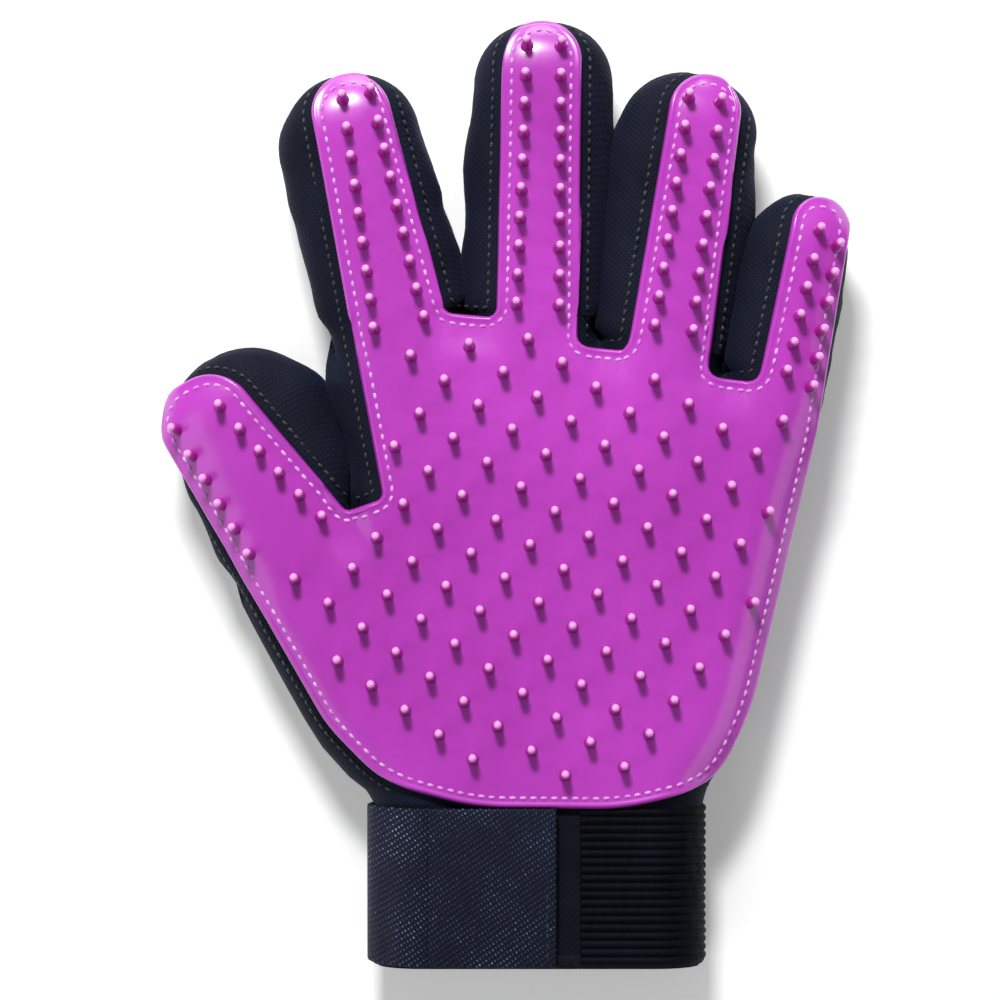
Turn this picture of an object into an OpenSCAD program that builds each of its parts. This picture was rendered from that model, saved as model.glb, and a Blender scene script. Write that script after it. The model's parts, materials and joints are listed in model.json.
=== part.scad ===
// Grooming glove for the left hand, lying on its back with the pins up.
// Millimetres.  +X towards the little finger, +Y towards the fingertips, +Z out of the palm.
// The origin is under the middle of the palm, on the surface the glove lies on.

/* [Overall] */
// Height of the palm fabric above the surface
palm_top = 26; // [25:0.5:27]
// Thickness of the fabric
fabric = 1.6; // [1.2:0.1:1.8]
// Thickness of the moulded silicone sheet
sheet = 2; // [1.5:0.1:2.2]
// Gap between two pieces at a fold line
slit = 0.6; // [0.5:0.1:1]

/* [Fingers] */
// Thickness of a finger tube
finger_depth = 21; // [20:0.5:22]
// Length of the rounded end of each long finger
tip_length = 16; // [14:1:17]

/* [Pins] */
// Height of a pin above the sheet
pin_height = 5.5; // [4:0.5:5.5]
// Radius of a pin where it leaves the sheet
pin_foot = 1.7; // [1.4:0.1:1.8]
// Radius of a pin's rounded end
pin_end = 1.1; // [0.8:0.1:1.1]
// Spacing of the pins along a finger
pin_step = 7.3; // [7.3:0.1:7.4]

/* [Cuff] */
// Length of the cuff along the wrist
cuff_length = 41; // [40:0.5:41]
// Width of the cuff when it lies flat
cuff_width = 83; // [82:0.5:84]
// Number of ribs in the elastic panel
rib_count = 13; // [10:1:14]

/* [Strap] */
// Width of the strap tape
strap_width = 33; // [28:1:34]
// Length of the flap that opens
flap_length = 32; // [26:1:33]
// Thickness of the tape
tape = 1.6; // [1.2:0.1:1.8]

/* [Hidden] */
finger_top = palm_top;
finger_half = finger_depth / 2;
finger_mid = finger_top - finger_half;
palm_half = palm_top / 2;
gap = slit / 2;
cuff_middle = 9.5;
cuff_left = cuff_middle - cuff_width / 2;
cuff_right = cuff_middle + cuff_width / 2;
cuff_round = palm_half;
strap_low = 4;
hinge_x = cuff_left + cuff_round + 1;
elastic_start = 21;

// Where the palm's middle is, measured from the cuff's open end: the pieces are drawn from there.
palm_middle = [9, 95];

// A finger: base point, lean to the left, length, distance to the middle fold,
// half width at the base, at the middle fold and where the tip starts,
// sideways shift where the tip starts, first and last angle of its silicone sheet.
index_finger = [[-26, 162], 12.8, 63.5, 29.2, 17, 18, 17, 0, 60, 120];
middle_finger = [[8.6, 163.5], -1.2, 74, 36.5, 16.4, 18.2, 17.2, 0, 60, 120];
ring_finger = [[41, 155.5], -8, 69.5, 29.2, 15.4, 17.6, 17, 0, 50, 110];
little_finger = [[70, 147.5], -9, 47, 21.9, 12.4, 13, 12.4, 0, 0, 100];
thumb_finger = [[-52, 104], 28, 52.5, 21.9, 16.6, 18, 18.6, 4.5, 80, 180];

// ---- small helpers ----

// Puts what is drawn from the cuff's end into the glove's own frame.
module in_frame() {
    translate([-palm_middle[0], -palm_middle[1], 0])
        children();
}

// Value part of the way between two values.
function mix(a, b, t) = a + (b - a) * t;

// Value along a list of evenly numbered stops.
function along(list, p) =
    let (i = min(floor(p), len(list) - 2))
    mix(list[i], list[i + 1], p - i);

// A signed power, which squares off an ellipse a little.
function soft(v) = sign(v) * pow(abs(v), 0.8);

// Flat list of all points in a list of rows.
function flat(rows) = [for (row = rows) each row];

// Closed solid between two grids of points: the outer face and the inner face.
module skin(outer, inner, closed = false) {
    n = len(outer);
    m = len(outer[0]);
    last = closed ? m - 1 : m - 2;
    points = concat(flat(outer), flat(inner));
    o = n * m;
    faces = concat(
        [for (i = [0 : n - 2]) for (j = [0 : last]) let (k = (j + 1) % m)
            each [[i * m + j, i * m + k, (i + 1) * m + k], [i * m + j, (i + 1) * m + k, (i + 1) * m + j]]],
        [for (i = [0 : n - 2]) for (j = [0 : last]) let (k = (j + 1) % m)
            each [[o + i * m + j, o + (i + 1) * m + k, o + i * m + k],
                  [o + i * m + j, o + (i + 1) * m + j, o + (i + 1) * m + k]]],
        [for (j = [0 : last]) let (k = (j + 1) % m)
            each [[j, o + j, o + k], [j, o + k, k]]],
        [for (j = [0 : last]) let (k = (j + 1) % m) let (r = (n - 1) * m)
            each [[r + j, r + k, o + r + k], [r + j, o + r + k, o + r + j]]],
        closed ? [] : [for (i = [0 : n - 2])
            each [[i * m, (i + 1) * m, o + (i + 1) * m], [i * m, o + (i + 1) * m, o + i * m]]],
        closed ? [] : [for (i = [0 : n - 2]) let (e = m - 1)
            each [[i * m + e, o + i * m + e, o + (i + 1) * m + e],
                  [i * m + e, o + (i + 1) * m + e, (i + 1) * m + e]]]
    );
    polyhedron(points, faces, convexity = 8);
}

// ---- fingers ----

function tip_of(f) = min(tip_length, f[6]);
function tip_start(f) = f[2] - tip_of(f);

// Half width and sideways shift of a finger at a distance along it.
function half_at(f, s) =
    s < f[3] ? mix(f[4], f[5], s / f[3])
    : mix(f[5], f[6], min(1, (s - f[3]) / (tip_start(f) - f[3])));
function shift_at(f, s) = f[7] * min(1, s / tip_start(f));

// One point on a finger's surface, moved out by a distance.
function tube_point(f, s, angle, out) =
    [shift_at(f, s) + (half_at(f, s) + out) * soft(cos(angle)), s,
     finger_mid + (finger_half + out) * soft(sin(angle))];

// One point on the rounded end, by its angle round and its angle up to the end.
function tip_point(f, up, angle, out) =
    let (k = pow(cos(up), 0.8))
    [shift_at(f, f[2]) + (f[6] + out) * k * soft(cos(angle)),
     tip_start(f) + (tip_of(f) + out) * sin(up),
     finger_mid + (finger_half + out) * k * soft(sin(angle))];

// Stops along the straight part of a finger.
function stops(a, b) = [for (i = [0 : 3]) mix(a, b, i / 3)];

module place(f) {
    in_frame()
        translate([f[0][0], f[0][1], 0])
            rotate(f[1])
                children();
}

module sleeve_lower(f) {
    rows = stops(gap, f[3] - gap);
    place(f)
        skin([for (s = rows) [for (a = [0 : 10 : 350]) tube_point(f, s, a, 0)]],
             [for (s = rows) [for (a = [0 : 10 : 350]) tube_point(f, s, a, -fabric)]], true);
}

module sleeve_upper(f) {
    rows = stops(f[3] + gap, tip_start(f));
    ups = [15, 30, 45, 58, 70, 80];
    round_outer = [for (u = ups) [for (a = [0 : 10 : 350]) tip_point(f, u, a, 0)]];
    round_inner = [for (u = ups) [for (a = [0 : 10 : 350]) tip_point(f, u, a, -fabric)]];
    outer = concat([for (s = rows) [for (a = [0 : 10 : 350]) tube_point(f, s, a, 0)]], round_outer);
    inner = concat([for (s = rows) [for (a = [0 : 10 : 350]) tube_point(f, s, a, -fabric)]], round_inner);
    n = len(outer);
    m = 36;
    o = n * m;
    end = 2 * o;
    points = concat(flat(outer), flat(inner),
        [tip_point(f, 89.9, 0, 0), tip_point(f, 89.9, 0, -fabric)]);
    faces = concat(
        [for (i = [0 : n - 2]) for (j = [0 : m - 1]) let (k = (j + 1) % m)
            each [[i * m + j, i * m + k, (i + 1) * m + k], [i * m + j, (i + 1) * m + k, (i + 1) * m + j]]],
        [for (i = [0 : n - 2]) for (j = [0 : m - 1]) let (k = (j + 1) % m)
            each [[o + i * m + j, o + (i + 1) * m + k, o + i * m + k],
                  [o + i * m + j, o + (i + 1) * m + j, o + (i + 1) * m + k]]],
        [for (j = [0 : m - 1]) let (k = (j + 1) % m) each [[j, o + j, o + k], [j, o + k, k]]],
        [for (j = [0 : m - 1]) let (k = (j + 1) % m) [(n - 1) * m + j, (n - 1) * m + k, end]],
        [for (j = [0 : m - 1]) let (k = (j + 1) % m) [o + (n - 1) * m + k, o + (n - 1) * m + j, end + 1]]
    );
    place(f)
        polyhedron(points, faces, convexity = 8);
}

// One pin standing on the sheet, leaning with the surface under it.
module pin(at, lean_x = 0, lean_y = 0) {
    translate(at)
        rotate([-lean_y, lean_x, 0]) {
            translate([0, 0, -0.8])
                cylinder(r1 = pin_foot, r2 = pin_end, h = 0.8 + pin_height - pin_end, $fn = 24);
            translate([0, 0, pin_height - pin_end])
                sphere(pin_end, $fn = 24);
        }
}

// Angles of the two rows of pins and of the sheet's middle.
function sheet_middle(f) = (f[8] + f[9]) / 2;
function row_angle(f, side) = sheet_middle(f) + side * min(19, (f[9] - f[8]) / 3.6);

// Lean of a pin so that it stands square to the tube.
function lean_at(f, angle) = atan2(finger_half * cos(angle), half_at(f, f[3]) * sin(angle)) * 0.8;

module sheet_pins(f, from, to) {
    for (i = [0 : 12], side = [-1, 1]) {
        s = pin_step * (i + 0.5);
        a = row_angle(f, side);
        if (s > from && s < to && s < tip_start(f) + 1)
            pin(tube_point(f, s, a, sheet - 0.05), lean_at(f, a), 0);
        up = (s - tip_start(f)) / tip_of(f) * 57;
        if (s > from && s < to && s >= tip_start(f) + 1 && up < 40)
            pin(tip_point(f, up, mix(a, sheet_middle(f), up / 90), sheet - 0.05), lean_at(f, a), up * 0.6);
    }
}

module sheet_lower(f) {
    rows = stops(gap, f[3] - gap);
    angles = [for (a = [f[8] : 10 : f[9]]) a];
    place(f) {
        skin([for (s = rows) [for (a = angles) tube_point(f, s, a, sheet)]],
             [for (s = rows) [for (a = angles) tube_point(f, s, a, 0)]]);
        sheet_pins(f, 0, f[3]);
    }
}

module sheet_upper(f) {
    rows = stops(f[3] + gap, tip_start(f));
    ups = [15, 30, 45, 58];
    angles = [for (a = [f[8] : 10 : f[9]]) a];
    place(f) {
        skin(concat([for (s = rows) [for (a = angles) tube_point(f, s, a, sheet)]],
                    [for (u = ups) [for (a = angles) tip_point(f, u, a, sheet)]]),
             concat([for (s = rows) [for (a = angles) tube_point(f, s, a, 0)]],
                    [for (u = ups) [for (a = angles) tip_point(f, u, a, 0)]]));
        sheet_pins(f, f[3], f[2]);
    }
}

// ---- hand ----

// The hand is drawn in columns that run from the cuff to the fold lines.
columns = 14;

// Where the hand starts at the cuff, at the heel and at the fold lines, from thumb to little finger.
cuff_line = [for (i = [0 : columns]) [mix(cuff_left, cuff_right, i / columns), cuff_length + gap]];
heel_line = [for (x = [-47, -40, -33, -28, -22, -10, 0, 10, 19.5, 20.5, 28, 37.5, 38.5, 50, 61.5]) [x, 60]];
fold_line = [[-66.7, 96.2], [-52, 104], [-36.4, 110.9], [-42.6, 136], [-41.8, 158.4], [-26, 162],
             [-9, 164], [8.6, 163.5], [24.7, 162.9], [25.4, 157.4], [41, 155.5], [56, 153.1],
             [57.4, 149.2], [70, 147.5], [82.2, 145.5]];

// A point on the hand: p runs across it, v runs from the cuff to the fold lines.
function hand_xy(p, v) =
    let (a = along(cuff_line, p), b = along(heel_line, p), c = along(fold_line, p) - [0, 0.45])
    v < 0.3 ? mix(a, b, v / 0.3) : mix(b, c, (v - 0.3) / 0.7);

// How much of the outermost column is taken up by the rounded side.
turn = 0.6;

// How full the hand is at each place across it, from nothing at a side seam to one in the middle.
function fullness(p) = let (e = min(1, p / turn, (columns - p) / turn)) sqrt(max(0, 1 - (1 - e) * (1 - e)));

// Half thickness of the hand along it.
function hand_half(v) = v < 0.6 ? palm_half : mix(palm_half, finger_half, (v - 0.6) / 0.4);

edge_steps = [0, 0.02, 0.08, 0.2, 0.4, 0.6];
across = concat(edge_steps, [for (p = [1 : columns - 1]) p], [for (i = [5 : -1 : 0]) columns - edge_steps[i]]);
up_hand = [0, 0.15, 0.3, 0.45, 0.6, 0.7, 0.8, 0.9, 1];

// The inner face's outermost columns lie further in, so that it stays inside the outer face.
function inset_p(p) =
    p < 1 ? mix(0.16, 1, p)
    : p > columns - 1 ? mix(columns - 1, columns - 0.16, p - columns + 1) : p;

function hand_point(p, v, side, out) =
    let (q = out < 0 ? inset_p(p) : p, c = hand_xy(q, v), h = hand_half(v))
    [c[0], c[1], palm_top - h + side * max(0.05, (h + out) * fullness(p))];

module palm_panel() {
    color([0.1, 0.11, 0.17]) in_frame()
        skin([for (v = up_hand) [for (p = across) hand_point(p, v, 1, 0)]],
             [for (v = up_hand) [for (p = across) hand_point(p, v, 1, -fabric)]]);
}

module back_panel() {
    color([0.1, 0.11, 0.17]) in_frame()
        skin([for (v = up_hand) [for (p = across) hand_point(p, v, -1, -fabric)]],
             [for (v = up_hand) [for (p = across) hand_point(p, v, -1, 0)]]);
}

// Wall between the palm and the back from the thumb's fold to the index finger's fold.
module thumb_gusset() {
    path = [[-35.6, 112.8], [-38.6, 124], [-41.9, 135.5], [-41.8, 146], [-40.6, 156.8]];
    heights = [for (a = [-80 : 20 : 80]) a];
    color([0.13, 0.14, 0.2]) in_frame()
        skin([for (q = path) [for (a = heights)
                 [q[0] - 1.2 * cos(a), q[1], finger_mid + (finger_half - fabric - 0.1) * sin(a) / sin(80)]]],
             [for (q = path) [for (a = heights)
                 [q[0] + fabric - 1.2 * cos(a), q[1], finger_mid + (finger_half - fabric - 0.1) * sin(a) / sin(80)]]]);
}

// The outline that the palm's pins keep inside.
pin_field = [[-53, 99.5], [-41.5, 74], [-33, 55], [-24, 48.5], [-8, 46], [38, 46], [46, 52], [53.2, 64], [68.4, 128],
             [71.4, 141], [60, 146], [44, 150.5], [24, 155], [8, 158.5], [-8, 159], [-27, 157], [-27, 116], [-39, 107]];

// Whether a point lies inside an outline.
function crossings(pt, line) = [for (i = [0 : len(line) - 1])
    let (a = line[i], b = line[(i + 1) % len(line)])
    if ((a[1] > pt[1]) != (b[1] > pt[1]) && pt[0] < (b[0] - a[0]) * (pt[1] - a[1]) / (b[1] - a[1]) + a[0]) 1];
function inside(pt, line) = len(crossings(pt, line)) % 2 == 1;

// The palm's pins stand on a square grid turned by about 36 degrees.
pin_grid_start = [15.8, 99.6];
pin_grid_a = [8.4, -6.1];
pin_grid_b = [6.2, 8.2];

// The flat part of the palm's sheet, with a rounded edge towards the cuff.
function sheet_outline() = concat(
    [for (a = [180 : 6 : 262]) [-17 + 28 * cos(a), 68 + 27.4 * sin(a)]],
    [for (a = [282 : 6 : 350]) [34 + 20 * cos(a), 62 + 21.4 * sin(a)]],
    [for (v = [0.32, 1]) hand_xy(columns - turn, v)],
    [for (p = [columns - 1 : -1 : 5]) hand_xy(p, 1)],
    [[-35.6, 159], [-29.5, 118]],
    [hand_xy(2, 1), hand_xy(1, 1), hand_xy(turn, 1)]
);

// Room for the bond between the fabric and the sheet's sides.
bond = 0.1;

// The sheet where it turns down over a side of the hand.
module sheet_side(places) {
    steps = [0.4, 0.6, 0.7, 0.8, 0.9, 1];
    skin([for (v = steps) [for (p = places) sheet_point(p, v, sheet)]],
         [for (v = steps) [for (p = places) sheet_point(p, v, bond)]]);
}

// A point of the side's outer or inner face.
function sheet_point(p, v, out) =
    let (c = hand_xy(p, v), h = hand_half(v), f = fullness(p))
    [c[0] + out * (p > columns / 2 ? 1 - f : f - 1), c[1], palm_top - h + (h + out) * f];

module palm_sheet() {
    color([0.75, 0.25, 0.78]) in_frame() {
        translate([0, 0, palm_top])
            linear_extrude(sheet)
                polygon(sheet_outline());
        for (i = [-12 : 12], j = [-12 : 12]) {
            at = pin_grid_start + i * pin_grid_a + j * pin_grid_b;
            if (inside(at, pin_field))
                pin([at[0], at[1], palm_top + sheet - 0.05]);
        }
    }
}

module palm_sheet_sides() {
    color([0.75, 0.25, 0.78]) in_frame() {
        sheet_side([for (e = [turn - 0.02, 0.4, 0.2, 0.08, 0.02, 0]) columns - e]);
        sheet_side([0.25, 0.4, turn - 0.02]);
    }
}

// ---- cuff ----

// A flattened ring round the wrist from one height along it to another.
module wrist_ring(low, high, inner, outer) {
    reach = cuff_width / 2 - cuff_round;
    for (side = [-1, 1])
        translate([cuff_middle + side * reach, low, cuff_round])
            rotate([-90, 0, 0])
                rotate(side > 0 ? -90 : 90)
                    rotate_extrude(angle = 180)
                        translate([inner, 0])
                            square([outer - inner, high - low]);
    for (z = [cuff_round - outer, cuff_round + inner])
        translate([cuff_middle - reach, low, z])
            cube([2 * reach, high - low, outer - inner]);
}

module cuff_band() {
    color([0.08, 0.08, 0.12]) in_frame()
        wrist_ring(3.2, cuff_length, cuff_round - fabric, cuff_round);
}

module cuff_hem() {
    color([0.05, 0.05, 0.08]) in_frame()
        wrist_ring(0, 3, cuff_round - fabric - 0.4, cuff_round);
}

// Ribbed elastic on the palm side of the cuff, towards the little finger.
module elastic_panel() {
    high = 36.5;
    step = high / rib_count;
    flat_length = cuff_right - cuff_round - elastic_start;
    color([0.05, 0.05, 0.07]) in_frame() {
        translate([elastic_start, 3.6, cuff_round])
            rotate([90, 0, 90])
                linear_extrude(flat_length)
                    rib_profile(high, step);
        translate([cuff_right - cuff_round, 3.6, cuff_round])
            rotate([-90, 0, 0])
                rotate(-90)
                    rotate_extrude(angle = 90)
                        rotate(-90)
                            mirror([1, 0])
                                rib_profile(high, step);
    }
}

// Side view of the ribs: along the wrist and out of the cuff.
module rib_profile(high, step) {
    translate([0, cuff_round])
        square([high, 0.7]);
    for (i = [0 : rib_count - 1])
        translate([step * i + step * 0.2, cuff_round + 0.6])
            square([step * 0.6, 0.6]);
}

module loop_patch() {
    color([0.12, 0.12, 0.15]) in_frame()
        translate([-12, strap_low + 3, palm_top])
            cube([22, strap_width - 6, 0.8]);
}

// Fixed end of the tape, round the thumb side of the cuff to where the flap folds.
module strap_anchor() {
    color([0.09, 0.1, 0.16]) in_frame() {
        translate([cuff_left + cuff_round, strap_low, cuff_round])
            rotate([-90, 0, 0])
                rotate(90)
                    rotate_extrude(angle = 180)
                        translate([cuff_round, 0])
                            square([tape, strap_width]);
        translate([cuff_left + cuff_round, strap_low, palm_top])
            cube([0.6, strap_width, tape]);
    }
}

module strap_flap() {
    color([0.09, 0.1, 0.16]) in_frame()
        translate([hinge_x, strap_low, palm_top + 1.8])
            cube([flap_length, strap_width, tape]);
}

module hook_patch() {
    color([0.04, 0.04, 0.05]) in_frame()
        translate([hinge_x + 9, strap_low + 4, palm_top + 0.95])
            cube([19, strap_width - 8, 0.85]);
}

// ---- the pieces of each finger ----

module fabric_colour() {
    color([0.1, 0.11, 0.17])
        children();
}

module silicone_colour() {
    color([0.75, 0.25, 0.78])
        children();
}

module index_sleeve_lower() { fabric_colour() sleeve_lower(index_finger); }
module index_sleeve_upper() { fabric_colour() sleeve_upper(index_finger); }
module index_sheet_lower() { silicone_colour() sheet_lower(index_finger); }
module index_sheet_upper() { silicone_colour() sheet_upper(index_finger); }
module middle_sleeve_lower() { fabric_colour() sleeve_lower(middle_finger); }
module middle_sleeve_upper() { fabric_colour() sleeve_upper(middle_finger); }
module middle_sheet_lower() { silicone_colour() sheet_lower(middle_finger); }
module middle_sheet_upper() { silicone_colour() sheet_upper(middle_finger); }
module ring_sleeve_lower() { fabric_colour() sleeve_lower(ring_finger); }
module ring_sleeve_upper() { fabric_colour() sleeve_upper(ring_finger); }
module ring_sheet_lower() { silicone_colour() sheet_lower(ring_finger); }
module ring_sheet_upper() { silicone_colour() sheet_upper(ring_finger); }
module little_sleeve_lower() { fabric_colour() sleeve_lower(little_finger); }
module little_sleeve_upper() { fabric_colour() sleeve_upper(little_finger); }
module little_sheet_lower() { silicone_colour() sheet_lower(little_finger); }
module little_sheet_upper() { silicone_colour() sheet_upper(little_finger); }
module thumb_sleeve_lower() { fabric_colour() sleeve_lower(thumb_finger); }
module thumb_sleeve_upper() { fabric_colour() sleeve_upper(thumb_finger); }
module thumb_sheet_lower() { silicone_colour() sheet_lower(thumb_finger); }
module thumb_sheet_upper() { silicone_colour() sheet_upper(thumb_finger); }

palm_panel();
back_panel();
thumb_gusset();
palm_sheet();
palm_sheet_sides();
cuff_band();
cuff_hem();
elastic_panel();
loop_patch();
strap_anchor();
strap_flap();
hook_patch();
index_sleeve_lower();
index_sleeve_upper();
index_sheet_lower();
index_sheet_upper();
middle_sleeve_lower();
middle_sleeve_upper();
middle_sheet_lower();
middle_sheet_upper();
ring_sleeve_lower();
ring_sleeve_upper();
ring_sheet_lower();
ring_sheet_upper();
little_sleeve_lower();
little_sleeve_upper();
little_sheet_lower();
little_sheet_upper();
thumb_sleeve_lower();
thumb_sleeve_upper();
thumb_sheet_lower();
thumb_sheet_upper();
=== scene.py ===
"""Looks of the grooming glove: stretch fabric hand, silicone sheet with pins, cuff and strap."""

import json
import math
import random

import bmesh
import bpy
import numpy as np
from mathutils import Matrix, Vector, noise
from mathutils.geometry import delaunay_2d_cdt


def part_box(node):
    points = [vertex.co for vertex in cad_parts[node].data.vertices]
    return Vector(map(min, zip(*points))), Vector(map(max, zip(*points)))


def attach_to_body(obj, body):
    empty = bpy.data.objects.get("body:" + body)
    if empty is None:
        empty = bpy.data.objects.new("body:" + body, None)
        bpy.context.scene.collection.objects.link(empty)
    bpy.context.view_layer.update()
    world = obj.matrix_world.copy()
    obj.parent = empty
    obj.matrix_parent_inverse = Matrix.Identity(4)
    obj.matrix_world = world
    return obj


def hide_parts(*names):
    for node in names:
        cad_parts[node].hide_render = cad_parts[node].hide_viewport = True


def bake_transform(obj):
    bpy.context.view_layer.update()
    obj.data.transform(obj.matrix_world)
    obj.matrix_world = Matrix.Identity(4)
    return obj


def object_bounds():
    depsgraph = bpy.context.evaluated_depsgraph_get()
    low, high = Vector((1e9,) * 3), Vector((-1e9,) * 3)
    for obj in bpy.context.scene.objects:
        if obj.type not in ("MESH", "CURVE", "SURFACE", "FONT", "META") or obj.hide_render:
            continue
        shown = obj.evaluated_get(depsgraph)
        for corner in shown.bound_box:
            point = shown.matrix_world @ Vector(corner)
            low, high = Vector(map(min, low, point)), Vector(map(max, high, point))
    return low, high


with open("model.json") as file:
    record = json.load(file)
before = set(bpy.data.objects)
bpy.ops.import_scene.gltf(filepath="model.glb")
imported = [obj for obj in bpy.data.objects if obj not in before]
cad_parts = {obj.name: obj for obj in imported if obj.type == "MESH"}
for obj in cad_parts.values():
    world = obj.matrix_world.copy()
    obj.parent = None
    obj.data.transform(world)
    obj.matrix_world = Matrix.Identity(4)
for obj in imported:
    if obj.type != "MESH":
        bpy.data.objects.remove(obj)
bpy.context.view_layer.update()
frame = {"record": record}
record = frame["record"]

MM = 0.001
TOP = 26.0          # height of the palm fabric
SHEET = 2.0         # thickness of the silicone sheet
PALM_HALF = 13.0    # half thickness of the hand
FINGER_HALF = 10.5  # half thickness of a finger
FLOOR = 0.3         # height of the cloth that lies on the floor


# ---------------------------------------------------------------- measures from the frame

def smooth(t):
    """Smooth step from 0 to 1."""
    t = min(1.0, max(0.0, t))
    return t * t * (3 - 2 * t)


def mix(a, b, t):
    return a + (b - a) * t


def reach(node, origin, direction, low=-1e9, high=1e9, along=None):
    """How far a CAD node reaches from a point in a direction, in millimetres."""
    best = -1e9
    for vertex in bpy.data.objects[node].data.vertices:
        p = Vector((vertex.co.x, vertex.co.y)) / MM - origin
        if along is None or low <= p.dot(along) <= high:
            best = max(best, p.dot(direction))
    return best


class Finger:
    """A finger's own frame and shape: s runs along it from the base fold, u runs across it."""

    def __init__(self, name, strip_left, strip_right, swell_left, swell_right, tip=16.0, lean=0.0, strip_end=1.5):
        """strip_left and strip_right are the sides of the silicone strip: u at the fold line and at the tip.
        A swell is how far the slack cloth bulges on a side, over what length it starts, and where it ends.
        lean is how far the cloth's tip stands to the right, strip_end how far the strip stops short of it."""
        joints = {j["name"]: j for j in record["behaviour"]["joints"]}
        base = joints[name + "_base_bend"]
        bend = joints[name + "_middle_bend"]
        self.name = name
        self.base = Vector(base["pos_m"][:2]) / MM
        self.across = Vector(base["axis"][:2]).normalized()
        self.ahead = Vector((-self.across.y, self.across.x))
        self.fold = (Vector(bend["pos_m"][:2]) / MM - self.base).dot(self.ahead)
        upper = name + "_sleeve_upper"
        lower = name + "_sleeve_lower"
        self.length = reach(upper, self.base, self.ahead)
        near = (0.0, 2.0, self.ahead)
        right = reach(lower, self.base, self.across, *near)
        left = reach(lower, self.base, -self.across, *near)
        self.half_base = (right + left) / 2
        near = (self.fold + 0.2, self.fold + 1.0, self.ahead)
        right = reach(upper, self.base, self.across, *near)
        left = reach(upper, self.base, -self.across, *near)
        self.half_fold = (right + left) / 2
        self.shift_fold = (right - left) / 2
        self.tip = min(tip, self.length)
        near = (self.length - tip - 1.0, self.length - tip + 1.0, self.ahead)
        right = reach(upper, self.base, self.across, *near)
        left = reach(upper, self.base, -self.across, *near)
        self.half_tip = (right + left) / 2
        self.shift_tip = (right - left) / 2 + lean
        self.left = strip_left
        self.right = strip_right
        self.strip_end = strip_end
        self.swell_left = swell_left
        self.swell_right = swell_right
        self.ring = self.fold / 2

    def bulge(self, swell, s):
        """How far slack cloth stands out on one side."""
        amount, start, end = swell
        return amount * smooth(s / start) * smooth((end - s) / 14)

    def half(self, s):
        """Half width at a distance along the finger."""
        extra = (self.bulge(self.swell_left, s) + self.bulge(self.swell_right, s)) / 2
        return self.plain_half(s) + extra

    def plain_half(self, s):
        if s <= self.fold:
            return mix(self.half_base, self.half_fold, max(0.0, s) / self.fold)
        straight = self.length - self.tip
        if s <= straight:
            return mix(self.half_fold, self.half_tip, (s - self.fold) / (straight - self.fold))
        q = (s - straight) / self.tip
        return self.half_tip * max(0.0, 1 - q ** 2.1) ** (1 / 2.1)

    def shift(self, s):
        """Sideways place of the middle of the finger."""
        return self.plain_shift(s) + (self.bulge(self.swell_right, s) - self.bulge(self.swell_left, s)) / 2

    def plain_shift(self, s):
        if s <= self.fold:
            return mix(0.0, self.shift_fold, smooth(s / self.fold))
        return mix(self.shift_fold, self.shift_tip,
                   smooth((s - self.fold) / (self.length - self.tip - self.fold)))

    def depth(self, s):
        """Half thickness at a distance along the finger."""
        straight = self.length - self.tip
        if s <= straight:
            return FINGER_HALF
        q = (s - straight) / self.tip
        return FINGER_HALF * max(0.0, 1 - q ** 2.3) ** (1 / 2.3)

    def middle_z(self, s):
        return TOP - FINGER_HALF

    def profile(self, u, s):
        """Height of the fabric above the finger's middle plane."""
        half = self.half(s)
        e = abs(u - self.shift(s)) / half if half > 0.01 else 1.0
        return self.depth(s) * max(0.0, 1 - e ** 2.5) ** (1 / 2.3)

    def region(self, x, y):
        """Whether a plan point is on this finger, and on which of its two parts."""
        u, s = self.local(x, y)
        side = u - self.shift(s)
        width = self.half(min(s, self.length - self.tip))
        room = 6.0 if self.name == "thumb" and side < 0 else 1.2
        if s <= 0 or abs(side) > width + room:
            return None
        return "base" if s < self.ring else "end"

    def place(self, u, s):
        p = self.base + self.across * u + self.ahead * s
        return p.x, p.y

    def local(self, x, y):
        p = Vector((x, y)) - self.base
        return p.dot(self.across), p.dot(self.ahead)

    def local_many(self, xy):
        """u and s of many plan points at once."""
        p = xy - np.array(self.base)
        return p @ np.array(self.across), p @ np.array(self.ahead)


NO_SWELL = (0.0, 1.0, 1.0)
FINGERS = {
    "index": Finger("index", (-10.8, -8.8), (11.6, 10.2), (1.8, 6.0, 58.0), (2.2, 1.6, 26.0), lean=-1.0),
    "middle": Finger("middle", (-9.2, -9.2), (10.8, 10.2), (1.9, 1.6, 26.0), (1.2, 3.0, 56.0), lean=1.4),
    "ring": Finger("ring", (-8.8, -6.8), (8.8, 11.0), (2.9, 3.0, 60.0), (0.5, 4.0, 50.0), lean=-1.0),
    "little": Finger("little", (-5.8, -3.0), (11.2, 10.6), (2.0, 3.0, 42.0), NO_SWELL),
    "thumb": Finger("thumb", (-16.8, -15.0), (16.8, 7.0), (1.6, 10.0, 50.0), (4.2, 14.0, 46.0), 17.0,
                    strip_end=3.2),
}


# ---------------------------------------------------------------- plan outlines, in millimetres

def at_cuff(x, y):
    """A point measured from the middle of the glove's open end, moved to the palm's middle."""
    return x - 9.0, y - 95.0


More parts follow.
